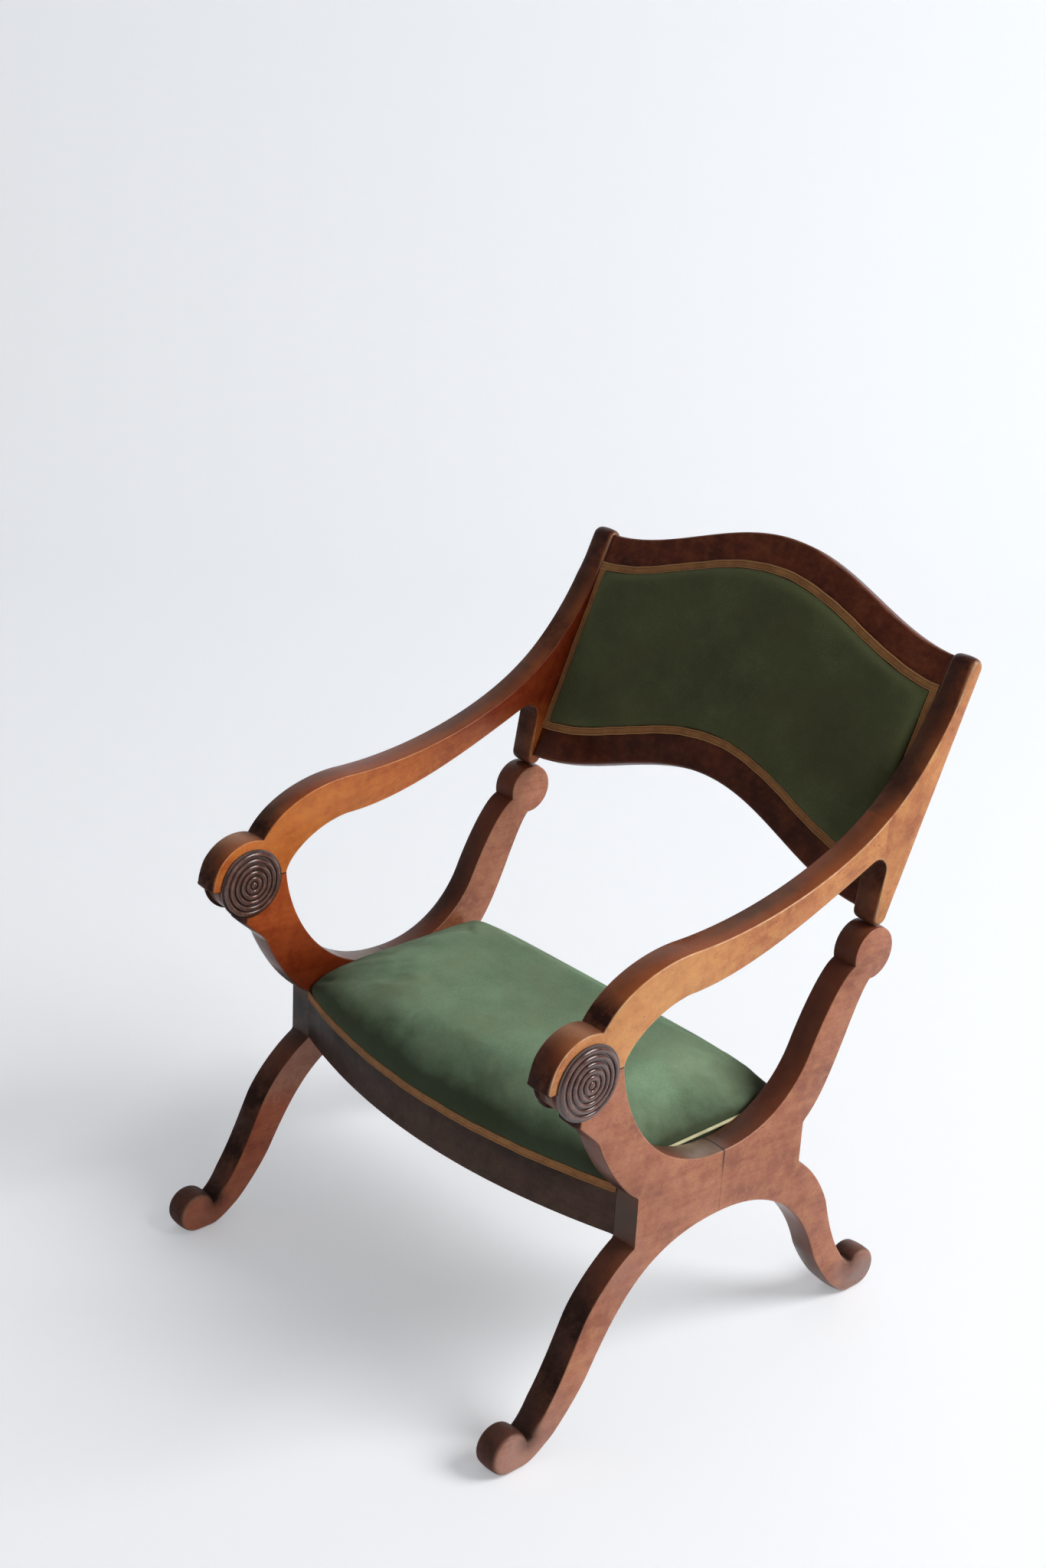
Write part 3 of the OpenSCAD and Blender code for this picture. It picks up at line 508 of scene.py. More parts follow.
PAD_HALF, PAD_EDGE, PAD_CROWN = INNER - 4.9, 19, 43  # half its width, its height at the sides, its crown
FRONT_ROLL, REAR_ROLL, TUCK = 112, 30, 1.5  # how far in each roll reaches, and how far in the cloth is tacked
PULL_X, PULL_Y, CREASE, CREASE_WIDE = 262, 2, 3.5, 6  # where the cloth is drawn into the front corners
PRESSURE, STEPS = 4, 20


def rounded(distance, length):
    """A quarter of an ellipse: 0 at an edge, 1 from that length inwards."""
    return np.sqrt(1 - (1 - np.clip(distance / length, 0, 1)) ** 2)


def closed_grid(top, base):
    """A pad from two grids of points with one rim: top outwards, base inwards, walls between."""
    n, m = top.shape[:2]
    k = np.arange(n * m).reshape(n, m)
    upper = np.stack([k[:-1, :-1], k[1:, :-1], k[1:, 1:], k[:-1, 1:]], -1).reshape(-1, 4)
    rim = np.concatenate([k[:, 0], k[-1, 1:], k[-2::-1, -1], k[0, -2:0:-1]])
    wall = np.stack([rim, rim + n * m, np.roll(rim, -1) + n * m, np.roll(rim, -1)], 1)
    faces = np.concatenate([upper, upper[:, ::-1] + n * m, wall])
    return np.concatenate([top.reshape(-1, 3), base.reshape(-1, 3)]), faces


def stuffed(piece, held, most, cell):
    """Swells a pad as its stuffing does. It is remeshed in cells, blown up from within as cloth over some
    frames with the held points nailed down, and no point moves further than most. Cell and most are in
    metres."""
    remesh = piece.modifiers.new("cells", "REMESH")
    remesh.mode, remesh.voxel_size = "VOXEL", cell
    graph = bpy.context.evaluated_depsgraph_get()
    piece.data = bpy.data.meshes.new_from_object(piece.evaluated_get(graph))
    piece.modifiers.clear()
    mesh = piece.data
    start = np.empty(len(mesh.vertices) * 3, np.float32)
    mesh.vertices.foreach_get("co", start)
    start = start.reshape(-1, 3)
    nailed = piece.vertex_groups.new(name="nailed")
    nailed.add(np.nonzero(held(start * 1000))[0].tolist(), 1.0, "REPLACE")
    cloth = piece.modifiers.new("stuffing", "CLOTH")
    cloth.settings.use_pressure = True
    cloth.settings.uniform_pressure_force = PRESSURE
    cloth.settings.vertex_group_mass = "nailed"
    cloth.settings.effector_weights.gravity = 0
    for step in range(1, STEPS + 1):
        bpy.context.scene.frame_set(step)
    graph = bpy.context.evaluated_depsgraph_get()
    swollen = np.empty_like(start.ravel())
    piece.evaluated_get(graph).data.vertices.foreach_get("co", swollen)
    move = swollen.reshape(-1, 3) - start
    length = np.linalg.norm(move, axis=1, keepdims=True)
    move *= np.minimum(1, most / np.maximum(length, 1e-9))
    piece.modifiers.clear()
    mesh.vertices.foreach_set("co", (start + move).ravel())
    bpy.context.scene.frame_set(1)
    smooth = piece.modifiers.new("even", "SMOOTH")
    smooth.factor, smooth.iterations = 0.5, 6
    finer = piece.modifiers.new("finer", "SUBSURF")
    finer.levels = finer.render_levels = 1
    mesh.polygons.foreach_set("use_smooth", np.ones(len(mesh.polygons), bool))


# Dust and wear with painted shade, and dirt with painted shade; the third colour tints the nap's sheen.
SOIL_AND_SHADE, DIRT_AND_SHADE, NAP_SHEEN = "#2c301a", "#2b2a1b", "#b9d0a8"


def wool_cloth(name, light, body, deep, dusty, sheen, soiled_and_shaded=None, dirt_and_shade=()):
    """Felted wool cover cloth. Threads show as a fine mottle 1.5 mm across, coarser than real so that it shows,
    over cloudy patches of faded dye some 60 mm wide, greener and browner, and the nap gives a soft sheen.
    Soiled gives two heights, in metres, between which the brown of dust and wear, with painted shade on the
    rolled front, which faces away from the window, fades out. Dirt lists dark spots of dirt and painted shade
    where the cloth is drawn in at the corners: the distance across, back and up, and their reach, in mm. The
    attribute roll paints a highlight on the nap along rolled edges."""
    material, tree, skin = finish_of(name, Roughness=0.95, Sheen_Weight=sheen, Sheen_Roughness=0.6, IOR=1.4)
    skin.inputs["Sheen Tint"].default_value = tone(NAP_SHEEN)
    place = node(tree, "TexCoord", out="Object")
    fade = node(tree, "TexNoise", {"Vector": place, "Scale": 15, "Detail": 4, "Roughness": 0.6})
    nap = node(tree, "TexNoise", {"Vector": place, "Scale": 620, "Detail": 3, "Roughness": 0.7})
    mix = node(tree, "Math", {0: nap, 1: 0.5}, operation="MULTIPLY")
    total = node(tree, "Math", {0: fade, 1: 0.5, 2: mix}, operation="MULTIPLY_ADD")
    result = node(tree, "ValToRGB", {"Fac": total}, [(0.3, deep), (0.5, body), (0.7, light)])
    elsewhere = node(tree, "Mapping", {"Vector": place, "Location": (3.1, 1.7, 0.4)})
    shift = node(tree, "TexNoise", {"Vector": elsewhere, "Scale": 11, "Detail": 3})
    browner = node(tree, "MapRange", {"Value": shift, "From Min": 0.42, "From Max": 0.68, "To Max": 0.4})
    # Painted highlight on the nap along rolled edges, from the roll attribute.
    roll = node(tree, "Attribute", attribute_name="roll", out="Fac")
    layers = [(browner, dusty), (roll, light)]
    # Dust and wear with painted shade low on the rolled front.
    if soiled_and_shaded is not None:
        height = node(tree, "SeparateXYZ", {0: place}, out="Z")
        uneven = node(tree, "Math", {0: fade, 1: 0.03, 2: height}, operation="MULTIPLY_ADD")
        low = node(tree, "MapRange", {"Value": uneven, "From Min": soiled_and_shaded[0] + 0.015,
                                      "From Max": soiled_and_shaded[1] + 0.015, "To Min": 0.9, "To Max": 0.0})
        layers.append((low, SOIL_AND_SHADE))
    # Dark spots of dirt and painted shade where the cloth is drawn in at the corners.
    for x, y, z, reach in dirt_and_shade:
        spot = (x / 1000, (y - TO_ORIGIN) / 1000, z / 1000)
        away = node(tree, "VectorMath", {0: place, 1: spot}, operation="DISTANCE", out="Value")
        dark = node(tree, "MapRange", {"Value": away, "From Max": reach / 1000, "To Min": 0.85, "To Max": 0.0},
                    interpolation_type="SMOOTHSTEP")
        layers.append((dark, DIRT_AND_SHADE))
    for mask, shade in layers:
        result = node(tree, "Mix", {0: mask, 6: result, 7: tone(shade)}, data_type="RGBA", out=2)
    surfaced(tree, skin, result, nap, 0.35, 0.0005)
    return material


green_cloth = wool_cloth(
    "green_wool_cloth", "#9ab793", "#84a180", "#6c8867", "#84896a", 0.15, soiled_and_shaded=(0.306, 0.344),
    # Spots at the four corners, where dirt and painted shade gather between the pad and the boards; the largest
    # at the near rear corner.
    dirt_and_shade=((266, 96, 290, 44), (-266, 94, 290, 34), (270, 352, 306, 88), (-268, 350, 306, 50)))
u, v = np.meshgrid(np.linspace(-1, 1, 109), np.linspace(0, 1, 61), indexing="ij")
x = np.sin(u * np.pi / 2) * PAD_HALF
front, rear = rail_front(x) - TUCK, FACET_REAR - TUCK
y = front + (rear - front) * (1 - np.cos(v * np.pi)) / 2
swell = np.sqrt(np.clip(1 - (abs(x) / PAD_HALF) ** 7, 0, 1))
swell *= rounded(y - front, FRONT_ROLL) * rounded(rear - y, REAR_ROLL)
pull = (abs(x) - PULL_X) * 0.75 + (y - front - PULL_Y) * 0.66
crease = CREASE * np.exp(-((pull / CREASE_WIDE) ** 2))
crease = crease * np.clip((y - front) / 8, 0, 1) * np.clip(1 - (y - front) / 55, 0, 1)
height = RAIL_TOP + PAD_EDGE + PAD_CROWN * swell - 9 * (1 - rounded(y - front, 55)) - crease
top = np.stack([x, y, height], -1)
base = np.stack([x * 0.99, y, np.full_like(x, RAIL_TOP + 0.5)], -1)
points, faces = closed_grid(top, base)
pad = shape("stuffed_seat", from_above(*points.T), faces)
stuffed(pad, lambda p: (p[:, 2] < RAIL_TOP + 3) | (abs(p[:, 0]) > PAD_HALF - 3), 0.006, 0.004)
pad.data.materials.clear()
pad.data.materials.append(green_cloth)
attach(pad, "seat_frame")
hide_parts("seat_pad")

# --- Braid and piping -------------------------------------------------------------------------------------
# Ochre gimp, 10.5 mm wide with a twisted cord along each edge, is pinned along the rails' top edges.
# A thin cord covered in faded cloth lies along each side of the pad.

BRAID, RIB, CORD, TWIST = 10.5, 1.9, 1.0, 2.4  # width of the gimp, rib to rib, cord's radius, turn to turn


def braided(name, path, across, outward, body, finish, width=BRAID, thick=1.9):
    """A strip of gimp carried along a path: a cord along each edge, a lower middle with fine ribs, a twist
    that ripples along the cords and a slight waver. The attributes run and side go along and across it, in
    metres."""
    s = np.linspace(-0.5, 0.5, 41) * width
    along = np.concatenate([[0], np.cumsum(np.linalg.norm(np.diff(path, axis=0), axis=1))])
    cord = np.sqrt(np.clip(1 - ((abs(s) - width / 2 + CORD) / CORD) ** 2, 0, None))
    middle = (0.6 + 0.09 * np.cos(2 * np.pi * s / RIB)) * (abs(s) < width / 2 - 1.2 * CORD)
    twist = 1 + 0.07 * np.sin(2 * np.pi * (along[:, None] / TWIST + np.sign(s) * 0.25))
    height = thick * np.maximum(cord * twist, middle) + 0.05
    waver = 0.22 * np.sin(along / 15) + 0.16 * np.sin(along / 6.1 + 2)
    line = path + across * waver[:, None]
    outer = line[:, None] + across[:, None] * s[None, :, None] + outward[:, None] * height[..., None]
    under = line[:, None] + across[:, None] * (s[[-1, 0]])[None, :, None]
    rings = np.concatenate([outer, under], 1)
    n, w = rings.shape[:2]
    faces = quads(n, w).tolist() + [list(range(w))[::-1], list(range((n - 1) * w, n * w))]
    piece = shape(name, rings.reshape(-1, 3) / 1000, faces, run=np.repeat(along, w) / 1000,
                  side=np.tile(np.concatenate([s, s[[-1, 0]]]), n) / 1000)
    piece.data.materials.append(finish)
    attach(piece, body)
    return piece


# Colour of the painted shade in the gimp's grooves.
GROOVE_SHADE = "#2c1a0a"


def twisted_silk(name, light, body, deep, slanted=0.3, painted_rib_shade=False):
    """Cotton and silk thread, faded. Threads slant every 1.3 mm, as strongly as slanted says, with dust between
    them. Edged gives the gimp painted shade: dark lines 1.9 mm apart along its middle, between its ribs, and a
    dark groove beside a lighter cord along each edge."""
    material, tree, skin = finish_of(name, Roughness=0.8, Sheen_Weight=0.15)
    run = node(tree, "Attribute", attribute_name="run", out="Fac")
    side = node(tree, "Attribute", attribute_name="side", out="Fac")
    spot = node(tree, "CombineXYZ", {"X": run, "Y": side})
    slant = node(tree, "Mapping", {"Vector": spot, "Rotation": (0, 0, 0.7)})
    thread = node(tree, "TexWave", {"Vector": slant, "Scale": 120, "Distortion": 1.0, "Detail": 2}, out="Fac")
    place = node(tree, "TexCoord", out="Object")
    dust = node(tree, "TexNoise", {"Vector": place, "Scale": 55, "Detail": 4, "Roughness": 0.7})
    mix = node(tree, "Math", {0: dust, 1: 1 - slanted}, operation="MULTIPLY")
    total = node(tree, "Math", {0: thread, 1: slanted, 2: mix}, operation="MULTIPLY_ADD")
    result = node(tree, "ValToRGB", {"Fac": total}, [(0.2, deep), (0.5, body), (0.8, light)])
    # Painted shade between the ribs and in a groove beside each cord.
    if painted_rib_shade:
        turn = node(tree, "Math", {0: side, 1: 2 * math.pi / (RIB / 1000)}, operation="MULTIPLY")
        rib = node(tree, "Math", {0: turn}, operation="COSINE")
        between = node(tree, "MapRange", {"Value": rib, "From Min": -1, "From Max": 0.2,
                                          "To Min": 0.35, "To Max": 0.0})
        off = node(tree, "Math", {0: side}, operation="ABSOLUTE")
        rim = BRAID / 2000
        cord = node(tree, "MapRange", {"Value": off, "From Min": rim - 0.0021, "From Max": rim - 0.0017,
                                       "To Max": 0.55})
        groove = node(tree, "MapRange", {"Value": off, "From Min": rim - 0.0032, "From Max": rim - 0.0021,
                                         "To Max": 0.5})
        line = node(tree, "Math", {0: groove, 1: cord}, operation="SUBTRACT", use_clamp=True)
        for mask, shade in ((between, deep), (line, GROOVE_SHADE), (cord, light)):
            result = node(tree, "Mix", {0: mask, 6: result, 7: tone(shade)}, data_type="RGBA", out=2)
    surfaced(tree, skin, result, thread, slanted, 0.0004)
    return material


gimp = twisted_silk("ochre_gimp_braid", "#c38c52", "#aa703b", "#7c4d25", 0.2, painted_rib_shade=True)
x = np.linspace(-INNER + 0.4, INNER - 0.4, 421)
slope = 2 * BOW * x / INNER**2
facing = np.stack([slope, -np.ones_like(x), np.zeros_like(x)], 1) / np.hypot(slope, 1)[:, None]
OVER = 3  # how far the gimp stands over the rails
level = np.full_like(x, RAIL_TOP + OVER - BRAID / 2)
upward = np.broadcast_to([0.0, 0.0, 1.0], facing.shape)
front_line = np.stack([x, rail_front(x) - TO_ORIGIN, level], 1)
braid = braided("seat_front_gimp", front_line, upward, facing, "seat_frame", gimp)
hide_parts("seat_front_braid")
behind = np.broadcast_to([0.0, 1.0, 0.0], facing.shape)
rear_line = np.stack([x, np.full_like(x, FACET_REAR - TO_ORIGIN), level], 1)
braid = braided("seat_rear_gimp", rear_line, -upward, behind, "seat_frame", gimp)
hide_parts("seat_rear_braid")

pale_cord = twisted_silk("faded_piping_cord", "#e0dbb0", "#cbc698", "#a29e72", 0.12)
PIPING_R, PIPING_IN, PIPING_UP = 2.0, 2.3, 17  # its radius, its middle in from the boards and up from the rails
for name, way in (("left", 1), ("right", -1)):
    y = np.linspace(FACET_FRONT + 22, FACET_REAR - 6, 161)
    u = np.linspace(0, 2 * np.pi, 17)[:-1]
    n, m = len(y), len(u)
    radius = PIPING_R * np.sqrt(np.clip(1 - ((y - y.mean()) / (y[-1] - y.mean())) ** 40, 0.05, 1))[:, None]
    back = np.broadcast_to((y - TO_ORIGIN)[:, None], (n, m))
    ring = np.stack([way * (INNER - PIPING_IN) + radius * np.cos(u), back,
                     RAIL_TOP + PIPING_UP + radius * np.sin(u)], -1)
    faces = quads(n, m, turned=True).tolist() + [list(range(m)), list(range((n - 1) * m, n * m))[::-1]]
    piping = shape(name + "_piping_cord", ring.reshape(-1, 3) / 1000, faces,
                   run=np.repeat(y, m) / 1000, side=np.tile(u * 2, n) / 1000)
    piping.data.materials.append(pale_cord)
    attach(piping, "seat_frame")
    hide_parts("seat_piping")

# --- Arms and stiles --------------------------------------------------------------------------------------
# Each arm ends in a hood over the knuckle, slotted for the tongue, so that two cheeks straddle it on a steel
# pin. Each stile stands on the rear knuckle by a round foot. Same mahogany, kept more golden by handling, with
# painted window light on its edges and painted shade up the inner faces of the stiles.

RAKE, CAP_R, STILE = math.radians(24), 12.5, 298
UP = np.array([math.sin(RAKE), math.cos(RAKE)])
OUT = np.array([math.cos(RAKE), -math.sin(RAKE)])
LEAN = math.radians(6)  # the foot stands this far round the head of the upright
foot = rest + (rest_r + CAP_R + PLAY) * np.array([math.sin(LEAN), math.cos(LEAN)])
head = foot + STILE * UP
crotch, crotch_r = foot + [-17.7, 57], 16
arm_end = math.degrees(math.acos(12 / crotch_r))
arm_end_top = crotch + [12, 66]
arm_top, arm_low = (145, 564), (145, 512)

arm_polish = french_polish(
    "french_polished_mahogany_arms", "#d69259", "#c27a48", "#a05a33", "#76361e", "#32150d", "#f8d8b0",
    # Three quarters share of painted window light on the narrow edges.
    wear=1.0, gold="#d39c58", painted_window_light=0.75,
    # From 595 mm up the inner tints are painted shade up the stiles, where the back keeps the window off.
    inside=((440, "#f8cca0"), (545, "#fad2a4"), (595, "#aa6c62"), (720, "#a0645a"), (785, "#5c3e38")),
    seams=(("Z", PIVOT[1], 440, 450, 0.3, 1.0), ("Y", arm_end_top[0] - TO_ORIGIN, 640, 900, 0.08, 0.3)),
    grime_and_shade=(
        # The pale spot on the top of the hood (-6, 513) is wear with a painted highlight.
        (100, 540, 150, (0.5, 0), "#dfa468"), (-6, 513, 36, (0, 1), "#a06846"),
        # The spot at the hood's front end (-58, 462) is painted shade on a face turned from the light.
        (26, 521, 30, (0.1, 1)), (-58, 462, 58, (0.1, 1)), (432, 574, 62, (0.05, 1)), (452, 512, 30, (0.3, 1)),
        (573, 796, 120, (0.1, 1), "#3b1911"), (36, 420, 24, (0.2, 1)), (500, 660, 50, (0, 1)),
    ))

LIP_R = 4.5
lip = PIVOT + np.array([-math.sqrt((HOOD - LIP_R) ** 2 - LIP_R**2), LIP_R])


def arm_outline(knuckle):
    """Outline of an arm: over the hood, back along the top to the stile, and forward underneath."""
    return np.concatenate([
        arc(lip, LIP_R, 270, 175, 8),
        arc(PIVOT, HOOD, 175, 71),
        curve(at(HOOD, 71), (22, 33), (-53, 0), arm_top, 34),
        curve(arm_top, (110, -4), (-68, -49), arm_end_top, 40),
        [arm_end_top],
        arc(crotch, crotch_r, arm_end, 111.6, 12),
        curve(at(crotch_r, 111.6, crotch), (-78, -32), (95, -2), arm_low, 34),
        curve(arm_low, (-45, -3), (5, 22), (NECK, PIVOT[1] + PLAY / 2), 30),
        [(NECK, PIVOT[1] + PLAY / 2)],
        knuckle,
    ])


stile_outline = np.concatenate([
    arc(foot, CAP_R, -24, -190.7, 24),
    arc(crotch, crotch_r, -10.7, arm_end, 12),
    curve(arm_end_top, (40, 27), (-20, -48), head - CAP_R * OUT - 28 * UP, 40),
    arc(head, CAP_R, 156, -24, 24),
])
cheek = arc(PIVOT, DISC, 360, 180)
slot_wall = arc(PIVOT, DISC + PLAY, 0, 180)


def arm_arris(a, b):
    """1.8 mm along the arm, softer on the hood's lip and the foot, softest on the head of the stile; almost
    none inside the knuckle."""
    radius = 1.8 + sum(more * near(a, b, *place) for more, place in (
        (1.5, (lip, 8, 30)), (4.4, (head, 20, 60)), (2.2, (foot, 18, 40))))
    return np.where(np.hypot(a, b - PIVOT[1]) < NECK - 1, 0.35, radius)


worked = {"arris": arm_arris, "crown": CROWN, "ends": ((0, arm_end_top[0]), (1, PIVOT[1] + PLAY / 2))}
for name, low, high in SIDES:
    arm = timber(name + "_arm_and_hood", "back_frame", "polished_mahogany", arm_polish,
                 *knuckled(arm_outline, cheek, slot_wall, TONGUE + PLAY, low, high, grain=14, **worked))
    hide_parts(name + "_arm")
    stile = timber(name + "_back_stile", "back_frame", "polished_mahogany", arm_polish,
                   sawn(stile_outline, low, high, grain=66, **worked))
    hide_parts(name + "_stile")

# --- Back rails and fillets -------------------------------------------------------------------------------
# Crest and lower rail are sawn to one arch, 56 mm deep and 18 mm thick, and doweled between the stiles, set
# back 6 mm from their fronts. Slim fillets beside the stiles take the tacks of the covers.

ARCH, WAVE, RAIL_DEEP = 67.0, 285.0, 56
RAIL_FRONT, RAIL_BACK = -CAP_R + 6, -CAP_R + 24
CREST_END = STILE + CAP_R - 6
PANEL_LOW = RAIL_DEEP - 12 - BRAID / 2
PANEL_TOP = PANEL_LOW + 218 + BRAID


def arch(x):
    """Rise of the arch: a cosine, 67 mm in the middle and nothing at its ends."""
    return ARCH * (1 + np.cos(np.pi * x / WAVE)) / 2


def leaning(a, b, c):
    """The back's own plane to the model: a across, b up along the rake, c forward from the stiles' middle."""
    back, up = (foot[k] + b * UP[k] - c * OUT[k] for k in (0, 1))
    return np.stack([a, back - TO_ORIGIN, up], -1) / 1000


red_polish = french_polish(
    "red_stained_mahogany_back_rails", "#7d3a1e", "#652c16", "#45190d", "#672c12", "#331207", "#a87860",
    gloss=0.34, wear=0.8, cover=0.5, shine=0.22, gold="#86482a",
    grime_and_shade=((480, 570, 95, (0.55, 0.55), "#27110b"),))
x = np.linspace(-INNER, INNER, 121)
for name, low in (("crest", CREST_END - RAIL_DEEP), ("lower", 0.0)):
    edges = [np.stack([x, low + rise + arch(x)], 1) for rise in (0, RAIL_DEEP)]
    rail = timber(name + "_back_rail", "back_frame", "dark_mahogany", red_polish,
                  sawn(np.concatenate([edges[0], edges[1][::-1]]), -RAIL_BACK, -RAIL_FRONT,
                       lambda a, b: rail_arris(a, b) * 2.2, leaning))
    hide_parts(name + "_rail")
finished(beech, "back_fillets")

# --- Back pads --------------------------------------------------------------------------------------------
# The same cloth, browner here and darker, partly as painted shade on faces turned from the window, over a
# thin layer of stuffing in front and a thinner one behind, drawn down to the rails and fillets all round.

# Darker than the seat's cloth, partly as painted shade.
olive_shaded_cloth = wool_cloth("olive_wool_cloth_shaded", "#646a43", "#4f5334", "#3d4026", "#534c31", 0.06)
u, v = np.meshgrid(np.linspace(-1, 1, 141), np.linspace(-1, 1, 81), indexing="ij")
THIN, INSET = 2.2, 0.6  # thickness at the rim, where the cover is tacked, and the gap to the gimp
half = INNER - BRAID - INSET
x = np.sin(u * np.pi / 2) * half
low, high = PANEL_LOW + BRAID + INSET, PANEL_TOP - BRAID - INSET
height = (low + high) / 2 + (high - low) / 2 * np.sin(v * np.pi / 2)
dome = rounded(half - abs(x), 27) * rounded(np.minimum(height - low, high - height), 20)
for name, node_name, seat, way, swell in (("front", "back_pad", -RAIL_FRONT + 1.8, 1, 9.5),
                                          ("rear", "rear_pad", -RAIL_BACK - 0.3, -1, 6.0)):
    rise = THIN + (swell - THIN) * dome
    outer = np.stack([x, height + arch(x), seat + way * rise], -1)
    inner = np.stack([x, height + arch(x), np.full_like(x, seat)], -1)
    points, faces = closed_grid(outer, inner) if way > 0 else closed_grid(inner, outer)
    # Painted highlight on the rolled edges, stronger on the upper half, which faces the light.
    edge = np.exp(-(((1 - dome) - 0.35) / 0.25) ** 2) * np.where(height > (low + high) / 2, 0.5, 0.15)
    panel = shape(name + "_back_panel", leaning(*points.T), faces, roll=np.tile(edge.ravel(), 2))
    finer = panel.modifiers.new("finer", "SUBSURF")
    finer.levels = finer.render_levels = 1
    panel.data.materials.append(olive_shaded_cloth)
    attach(panel, "back_frame")
    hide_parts(node_name)

# --- Back braid -------------------------------------------------------------------------------------------
# The same gimp, flat along the arched edges of both covers, over plain runs beside the stiles.

x = np.linspace(-INNER + 0.4, INNER - 0.4, 441)
slope = np.gradient(arch(x), x)
rise = np.linspace(PANEL_LOW + 4, PANEL_TOP - 4, 171)


def in_back(points):
    """Points of the back's plane in the model, in mm."""
    return leaning(*points.T) * 1000


def directions(*parts):
    """Directions across, up and forward in the back's plane, turned to the model."""
    vectors = np.stack(np.broadcast_arrays(*parts), 1).astype(float)
    return in_back(vectors) - in_back(vectors * 0)


for name, node_name, base_c, way in (("front", "back_front_braid", -RAIL_FRONT + 1.5, 1),
                                     ("rear", "back_rear_braid", -RAIL_BACK, -1)):
    for edge_name, middle in (("top", PANEL_TOP - BRAID / 2), ("bottom", PANEL_LOW + BRAID / 2)):
        path = in_back(np.stack([x, middle + arch(x), np.full_like(x, base_c)], 1))
        over = directions(-slope / np.hypot(slope, 1), 1 / np.hypot(slope, 1), 0)
        out = directions(0, 0 * x, way)
        strip = braided(f"back_{name}_{edge_name}_gimp", path, over * way, out, "back_frame", gimp)
        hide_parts(node_name)
    for side_name, at_x in (("left", INNER - BRAID / 2 - 0.2), ("right", -INNER + BRAID / 2 + 0.2)):
        path = in_back(np.stack([np.full_like(rise, at_x), rise + arch(at_x), np.full_like(rise, base_c)], 1))
        over, out = directions(-1, 0 * rise, 0), directions(0, 0 * rise, way)
        strip = braided(f"back_{name}_{side_name}_gimp", path, over * way, out, "back_frame", gimp,
                        BRAID - 0.4, 1.2)
        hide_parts(node_name)

# --- Roundels ---------------------------------------------------------------------------------------------
# Four turned discs with a low dome, a centre button and five rings, stained almost black and polished, are
# glued on the cheeks and hide the ends of the pins. Old wax lies black between the rings.

turned, tree, skin = finish_of("polished_turned_mahogany", Roughness=0.3, IOR=1.5, Coat_Weight=0.5,
                               Coat_Roughness=0.16)
place = node(tree, "TexCoord", out="Object")
worn = node(tree, "TexNoise", {"Vector": place, "Scale": 90, "Detail": 5, "Roughness": 0.7})
stain = node(tree, "ValToRGB", {"Fac": worn}, [(0.35, "#4a2b23"), (0.55, "#5f3b31"), (0.75, "#7d5345")])
ridge = node(tree, "Attribute", attribute_name="ridge", out="Fac")
hollow = node(tree, "MapRange", {"Value": ridge, "From Max": 0.6, "To Min": 0.65, "To Max": 0.0})
waxed = node(tree, "Mix", {0: hollow, 6: stain, 7: tone("#140a08")}, data_type="RGBA", out=2)
tree.links.new(waxed, skin.inputs["Base Color"])
gloss = node(tree, "MapRange", {"Value": worn, "To Min": 0.14, "To Max": 0.32})
tree.links.new(gloss, skin.inputs["Roughness"])

ROUNDEL_R, RIM, DOME, RINGS = 43.5, 4.5, 4.0, 5
pitch = (ROUNDEL_R - 3) / (RINGS + 0.5)
bead = pitch * 0.36


def dome_height(r):
    """Height of the low dome above the cheek, a parabola, without its rings."""
    return RIM - bead + DOME * (1 - (r / ROUNDEL_R) ** 2)


r = np.linspace(0, ROUNDEL_R, 220)
crest = np.zeros_like(r)
for k in range(RINGS + 1):
    centre, half = (0.0, pitch * 0.6) if k == 0 else ((k + 0.15) * pitch, pitch * 0.4)
    crest = np.maximum(crest, bead * np.sqrt(np.clip(1 - ((r - centre) / half) ** 2, 0, None)))
underside = [(ROUNDEL_R, PLAY), (DISC - 0.5, PLAY), (DISC - 0.5, 0.0)]
profile = np.concatenate([np.stack([r, dome_height(r) + crest], 1), underside])
for name, face, way, node_name in (
        ("left_outer", OUTER, 1, "left_outer_roundel"), ("left_inner", INNER, -1, "left_inner_roundel"),
        ("right_outer", -OUTER, -1, "right_outer_roundel"), ("right_inner", -INNER, 1, "right_inner_roundel")):
    turn = np.linspace(0, 2 * np.pi, 97)[:-1] * way
    n, m = len(profile) - 1, len(turn)
    across, height = profile[1:, :1], profile[1:, 1:]
    ring = np.stack([np.broadcast_to(face + way * height, (n, m)), -TO_ORIGIN + across * np.cos(turn),
                     PIVOT[1] + across * np.sin(turn)], -1)
    poles = np.array([[face + way * profile[0, 1], -TO_ORIGIN, PIVOT[1]], [face, -TO_ORIGIN, PIVOT[1]]])
    points = np.concatenate([ring.reshape(-1, 3), poles]) / 1000
    k = np.arange(m)
    fan = np.stack([np.full(m, n * m), k, (k + 1) % m], 1)
    close = np.stack([np.full(m, n * m + 1), (n - 1) * m + (k + 1) % m, (n - 1) * m + k], 1)
    faces = quads(n, m, turned=True).tolist() + fan.tolist() + close.tolist()
    on_ridge = np.concatenate([np.repeat(np.append(crest[1:] / bead, [0.3, 0, 0]), m), [1.0, 0.0]])
    roundel = shape(name + "_turned_roundel", points, faces, ridge=on_ridge)
    roundel.data.materials.append(turned)
    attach(roundel, "back_frame")
    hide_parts(node_name)

# --- Floor, light and camera ------------------------------------------------------------------------------
# A white floor that curves up into a backdrop. A large soft window stands behind the chair on its left, a wide
# pale wall beside it, and the rest is dim. The camera stands where the fit to the photograph puts it.

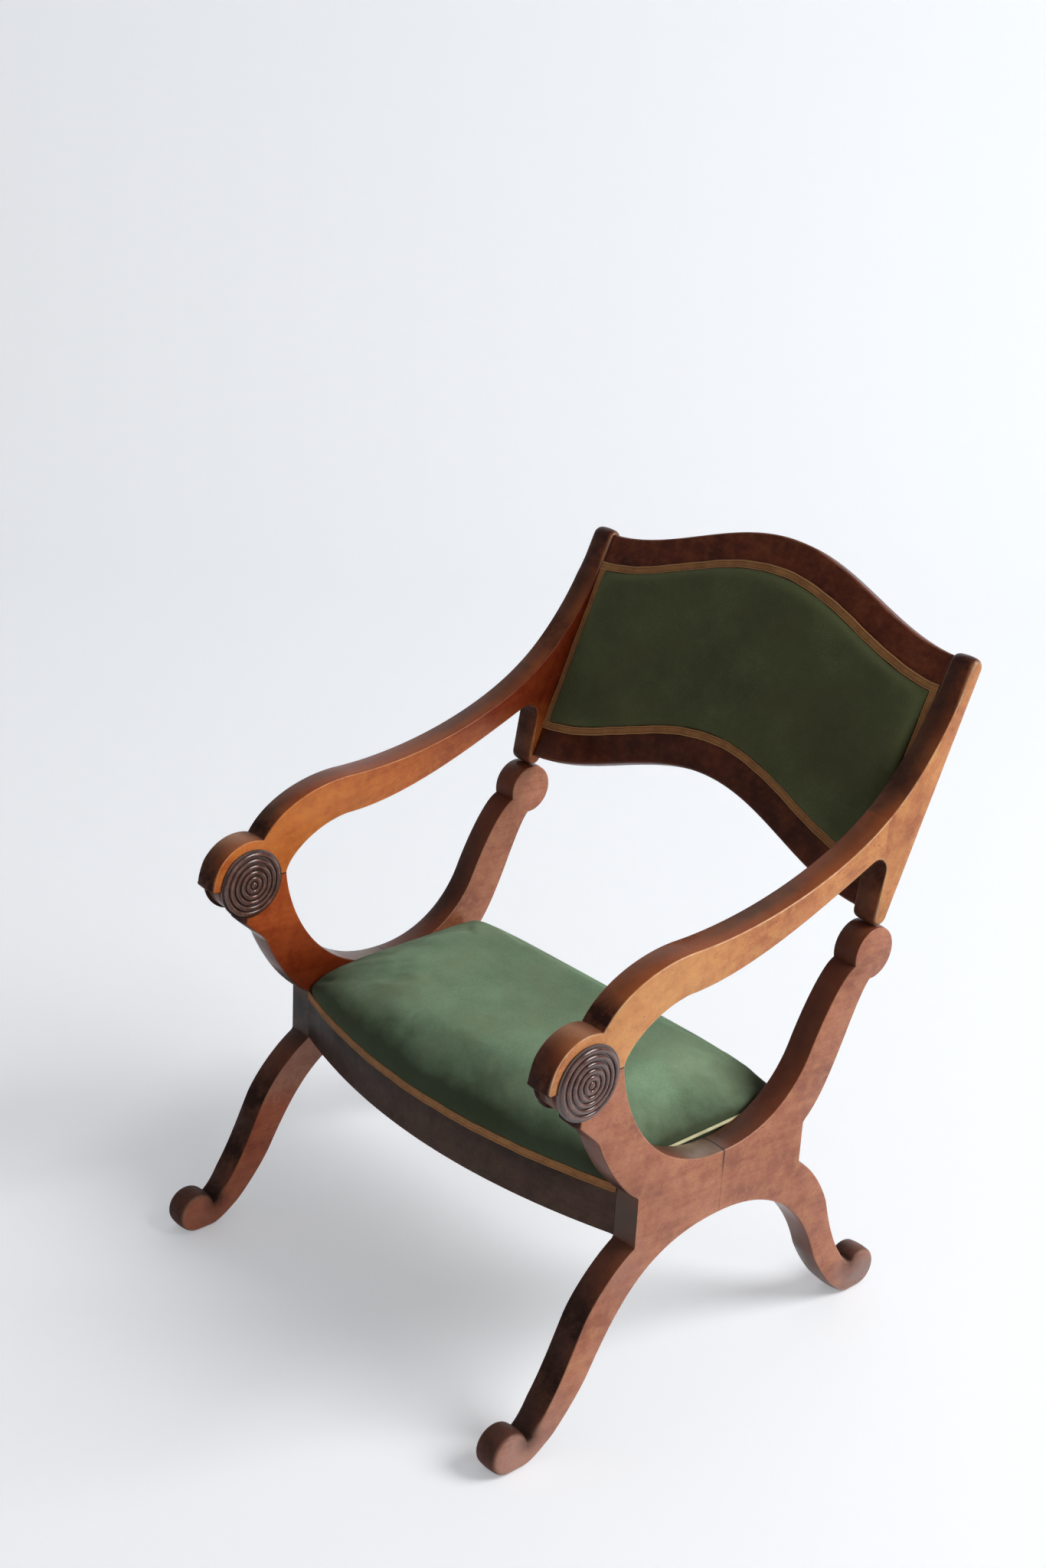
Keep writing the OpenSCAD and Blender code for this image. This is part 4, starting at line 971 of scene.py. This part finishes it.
AZIMUTH, ELEVATION, ROLL = (math.radians(v) for v in (47.095, 22.672, 3.045))
FOCAL_PX, TALL_PX = 3044.5, 2048  # the fit's focal length and the frame's height
back = np.array([math.sin(AZIMUTH) * math.cos(ELEVATION), -math.cos(AZIMUTH) * math.cos(ELEVATION),
                 math.sin(ELEVATION)])
flat_right = np.array([math.cos(AZIMUTH), math.sin(AZIMUTH), 0])
flat_up = np.cross(back, flat_right)
right = math.cos(ROLL) * flat_right + math.sin(ROLL) * flat_up
up = math.cos(ROLL) * flat_up - math.sin(ROLL) * flat_right
lens = bpy.data.cameras.new("camera")
lens.lens, lens.sensor_width = FOCAL_PX * 36 / TALL_PX, 36
camera = bpy.data.objects.new("camera", lens)
facing = Matrix(np.stack([right, up, back], 1).tolist()).to_4x4()
camera.matrix_world = Matrix.Translation((1.7761, -1.7305, 1.6523)) @ facing
bpy.context.collection.objects.link(camera)
bpy.context.scene.camera = camera

turn = np.radians(np.linspace(0, 90, 25))
reach = np.concatenate([[-4.5], 2.6 + 1.2 * np.sin(turn), [3.8]])
rise = np.concatenate([[0], 1.2 - 1.2 * np.cos(turn), [5.0]])
away = -np.array([back[0], back[1], 0]) / np.hypot(back[0], back[1])
profile = away * reach[:, None] + np.array([0, 0, 1]) * rise[:, None]
sweep = np.concatenate([profile + flat_right * s for s in (-6, 6)])
count = len(reach)
k = np.arange(count - 1)
backdrop = shape("backdrop", sweep, np.stack([k, k + count, k + count + 1, k + 1], 1))
pale, tree, skin = finish_of("white_painted_floor", Roughness=0.85)
skin.inputs["Base Color"].default_value = tone("#eaecef")
skin.inputs["Emission Color"].default_value = tone("#f6f8fb")
path = node(tree, "LightPath", out=None)
seen = node(tree, "Math", {0: path["Is Camera Ray"], 1: path["Is Glossy Ray"]}, operation="MAXIMUM")
glow = node(tree, "Math", {0: seen, 1: 0.3}, operation="MULTIPLY")
tree.links.new(glow, skin.inputs["Emission Strength"])
backdrop.data.materials.append(pale)

SEAT_MIDDLE = np.array([0, 0, 0.4])
for label, where, size, power in (("window", (3.9, 3.15, 4.5), 3.6, 315), ("wall", (5.4, -0.9, 2.4), 4.0, 45)):
    lamp = bpy.data.lights.new(label, "AREA")
    lamp.shape, lamp.size, lamp.energy = "DISK", size, power
    holder = bpy.data.objects.new(label, lamp)
    aim = np.array(where) - SEAT_MIDDLE
    holder.location = where
    holder.rotation_euler = (math.atan2(math.hypot(aim[0], aim[1]), aim[2]), 0, math.atan2(aim[0], -aim[1]))
    bpy.context.collection.objects.link(holder)
world = bpy.data.worlds.new("surround")
bpy.context.scene.world = world
world.use_nodes = True
world.node_tree.nodes["Background"].inputs["Color"].default_value = tone("#f2f4f7")
tree = world.node_tree
direct = node(tree, "LightPath", out="Is Camera Ray")
level = node(tree, "MapRange", {"Value": direct, "To Min": 0.25, "To Max": 1.0})
tree.links.new(level, tree.nodes["Background"].inputs["Strength"])
bpy.context.scene.view_settings.view_transform = "Standard"
